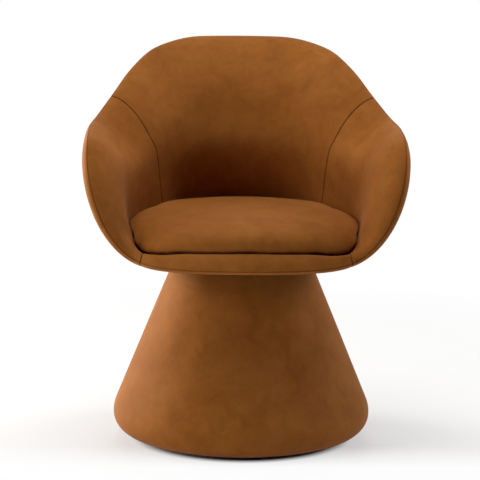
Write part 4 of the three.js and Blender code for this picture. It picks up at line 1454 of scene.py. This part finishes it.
@dataclass
class Studio:
    """The pale floor, the soft lights and the camera at the photograph's place.

    Each pair of a glow, the painted light ahead included, holds how far off the floor starts to glow and how fast it
    does.
    """

    camera_place: tuple[float, float, float] = (-0.1449, -4.1975, 1.09)
    heading: float = math.radians(1.9)
    pitch: float = math.radians(9.277)
    roll: float = math.radians(0.6)
    focal_pixels: float = 2106.0
    frame_pixels: float = 480.0
    sensor: float = 36.0
    white: tuple = tint(1.0, 1.0, 1.0)
    floor_tone: tuple = tint(0.78, 0.78, 0.78)
    floor_radius: float = 9.0
    glow_least: float = 0.45
    glow_beside: tuple[float, float] = (0.20, 40)
    glow_far: tuple[float, float] = (0.5, 0.8)
    painted_light_ahead: tuple[float, float] = (0.1, 6)
    painted_light_ahead_most: float = 0.9

    def add_camera(self) -> None:
        """Adds the camera, with its roll."""
        data = bpy.data.cameras.new("camera")
        data.sensor_width = self.sensor
        data.lens = self.focal_pixels / self.frame_pixels * self.sensor
        forward = Vector((math.sin(self.heading) * math.cos(self.pitch),
                          math.cos(self.heading) * math.cos(self.pitch), -math.sin(self.pitch)))
        right = Vector((math.cos(self.heading), -math.sin(self.heading), 0))
        up = right.cross(forward)
        c, q = math.cos(self.roll), math.sin(self.roll)
        across, above = right * c + up * q, up * c - right * q
        turn = Matrix((across, above, -forward)).transposed().to_4x4()
        camera = bpy.data.objects.new("camera", data)
        camera.matrix_world = Matrix.Translation(self.camera_place) @ turn
        bpy.context.scene.collection.objects.link(camera)
        bpy.context.scene.camera = camera

    def add_world(self) -> None:
        """Shows the room white to the camera, in gloss and through glass, and leaves the light to the soft boxes."""
        world = bpy.data.worlds.new("studio")
        bpy.context.scene.world = world
        bench = ShaderBench(world, "Background")
        path = bench.node("ShaderNodeLightPath", {}, {})
        kinds = ("Camera", "Glossy", "Transmission")
        camera, gloss, glass = (Shade(bench, path.outputs[f"Is {kind} Ray"]) for kind in kinds)
        bench.feed(bench.surface, {"Color": self.white, "Strength": camera.at_least(gloss).at_least(glass)})

    def add_floor(self) -> None:
        """Adds the floor, which fades to the white of the room away from the chair, and glows more ahead of it as
        painted light over the chair's shadow.
        """
        deselect_all()
        bpy.ops.mesh.primitive_circle_add(vertices=96, radius=self.floor_radius, fill_type="NGON", location=(0, 0, 0))
        floor = new_piece("floor")
        bench = ShaderBench.material("studio floor")
        bench.feed(bench.surface, {"Base Color": self.floor_tone, "Roughness": 0.55})
        path = bench.node("ShaderNodeLightPath", {}, {})
        seen = Shade(bench, path.outputs["Is Camera Ray"]).at_least(Shade(bench, path.outputs["Is Glossy Ray"]))
        where = bench.node("ShaderNodeTexCoord", {}, {})
        away = bench.node("ShaderNodeVectorMath", {"operation": "LENGTH"}, {0: where.outputs["Object"]})
        distance = Shade(bench, away.outputs["Value"])
        axes = bench.node("ShaderNodeSeparateXYZ", {}, {0: where.outputs["Object"]})
        beside = ((distance - self.glow_beside[0]) * self.glow_beside[1]).within(0, 1)
        far = ((distance - self.glow_far[0]) * self.glow_far[1]).within(0, 1)
        # painted light: the floor glows more ahead of the chair, which washes out the chair's shadow there
        ahead = -self.painted_light_ahead[0] - Shade(bench, axes.outputs["Y"])
        ahead = (ahead * self.painted_light_ahead[1]).within(0, self.painted_light_ahead_most)
        glow = bench.node("ShaderNodeEmission", {}, {"Color": self.white, "Strength": 1.0})
        share = seen * beside * (far.at_least(ahead) * (1 - self.glow_least) + self.glow_least)
        mixed = bench.node("ShaderNodeMixShader", {}, {0: share, 1: bench.surface.outputs[0], 2: glow.outputs[0]})
        output = next(n for n in bench.tree.nodes if n.type == "OUTPUT_MATERIAL")
        bench.feed(output, {"Surface": mixed.outputs[0]})
        floor.data.materials.append(bench.owner)

    def build(self) -> None:
        """Sets up the whole studio."""
        bpy.context.scene.view_settings.view_transform = "Standard"
        self.add_camera()
        self.add_world()
        self.add_floor()
        for box in SOFT_BOXES:
            box.hang()


def main() -> None:
    """Builds the armchair on the frame and reports each piece."""
    logging.basicConfig(level=logging.INFO, format="%(name)s: %(message)s")
    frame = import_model()
    Studio().build()
    finishes = Finishes()
    skin = TubSkin()
    pieces = [ConeUpholstery(finishes).build(), *Glides(finishes).build()]
    pieces.append(UndersideCloth(skin, finishes).build())
    pieces.extend(TubUpholstery(skin, finishes).build())
    pieces.append(SeatCushion(skin, finishes).build())
    for piece in pieces:
        log.info("%s: %d points", piece.name, len(piece.data.vertices))
    log.info("%d solids of the frame dressed", Hardware().dress(frame["nodes"], finishes))
    deselect_all()


if __name__ == "__main__":
    main()
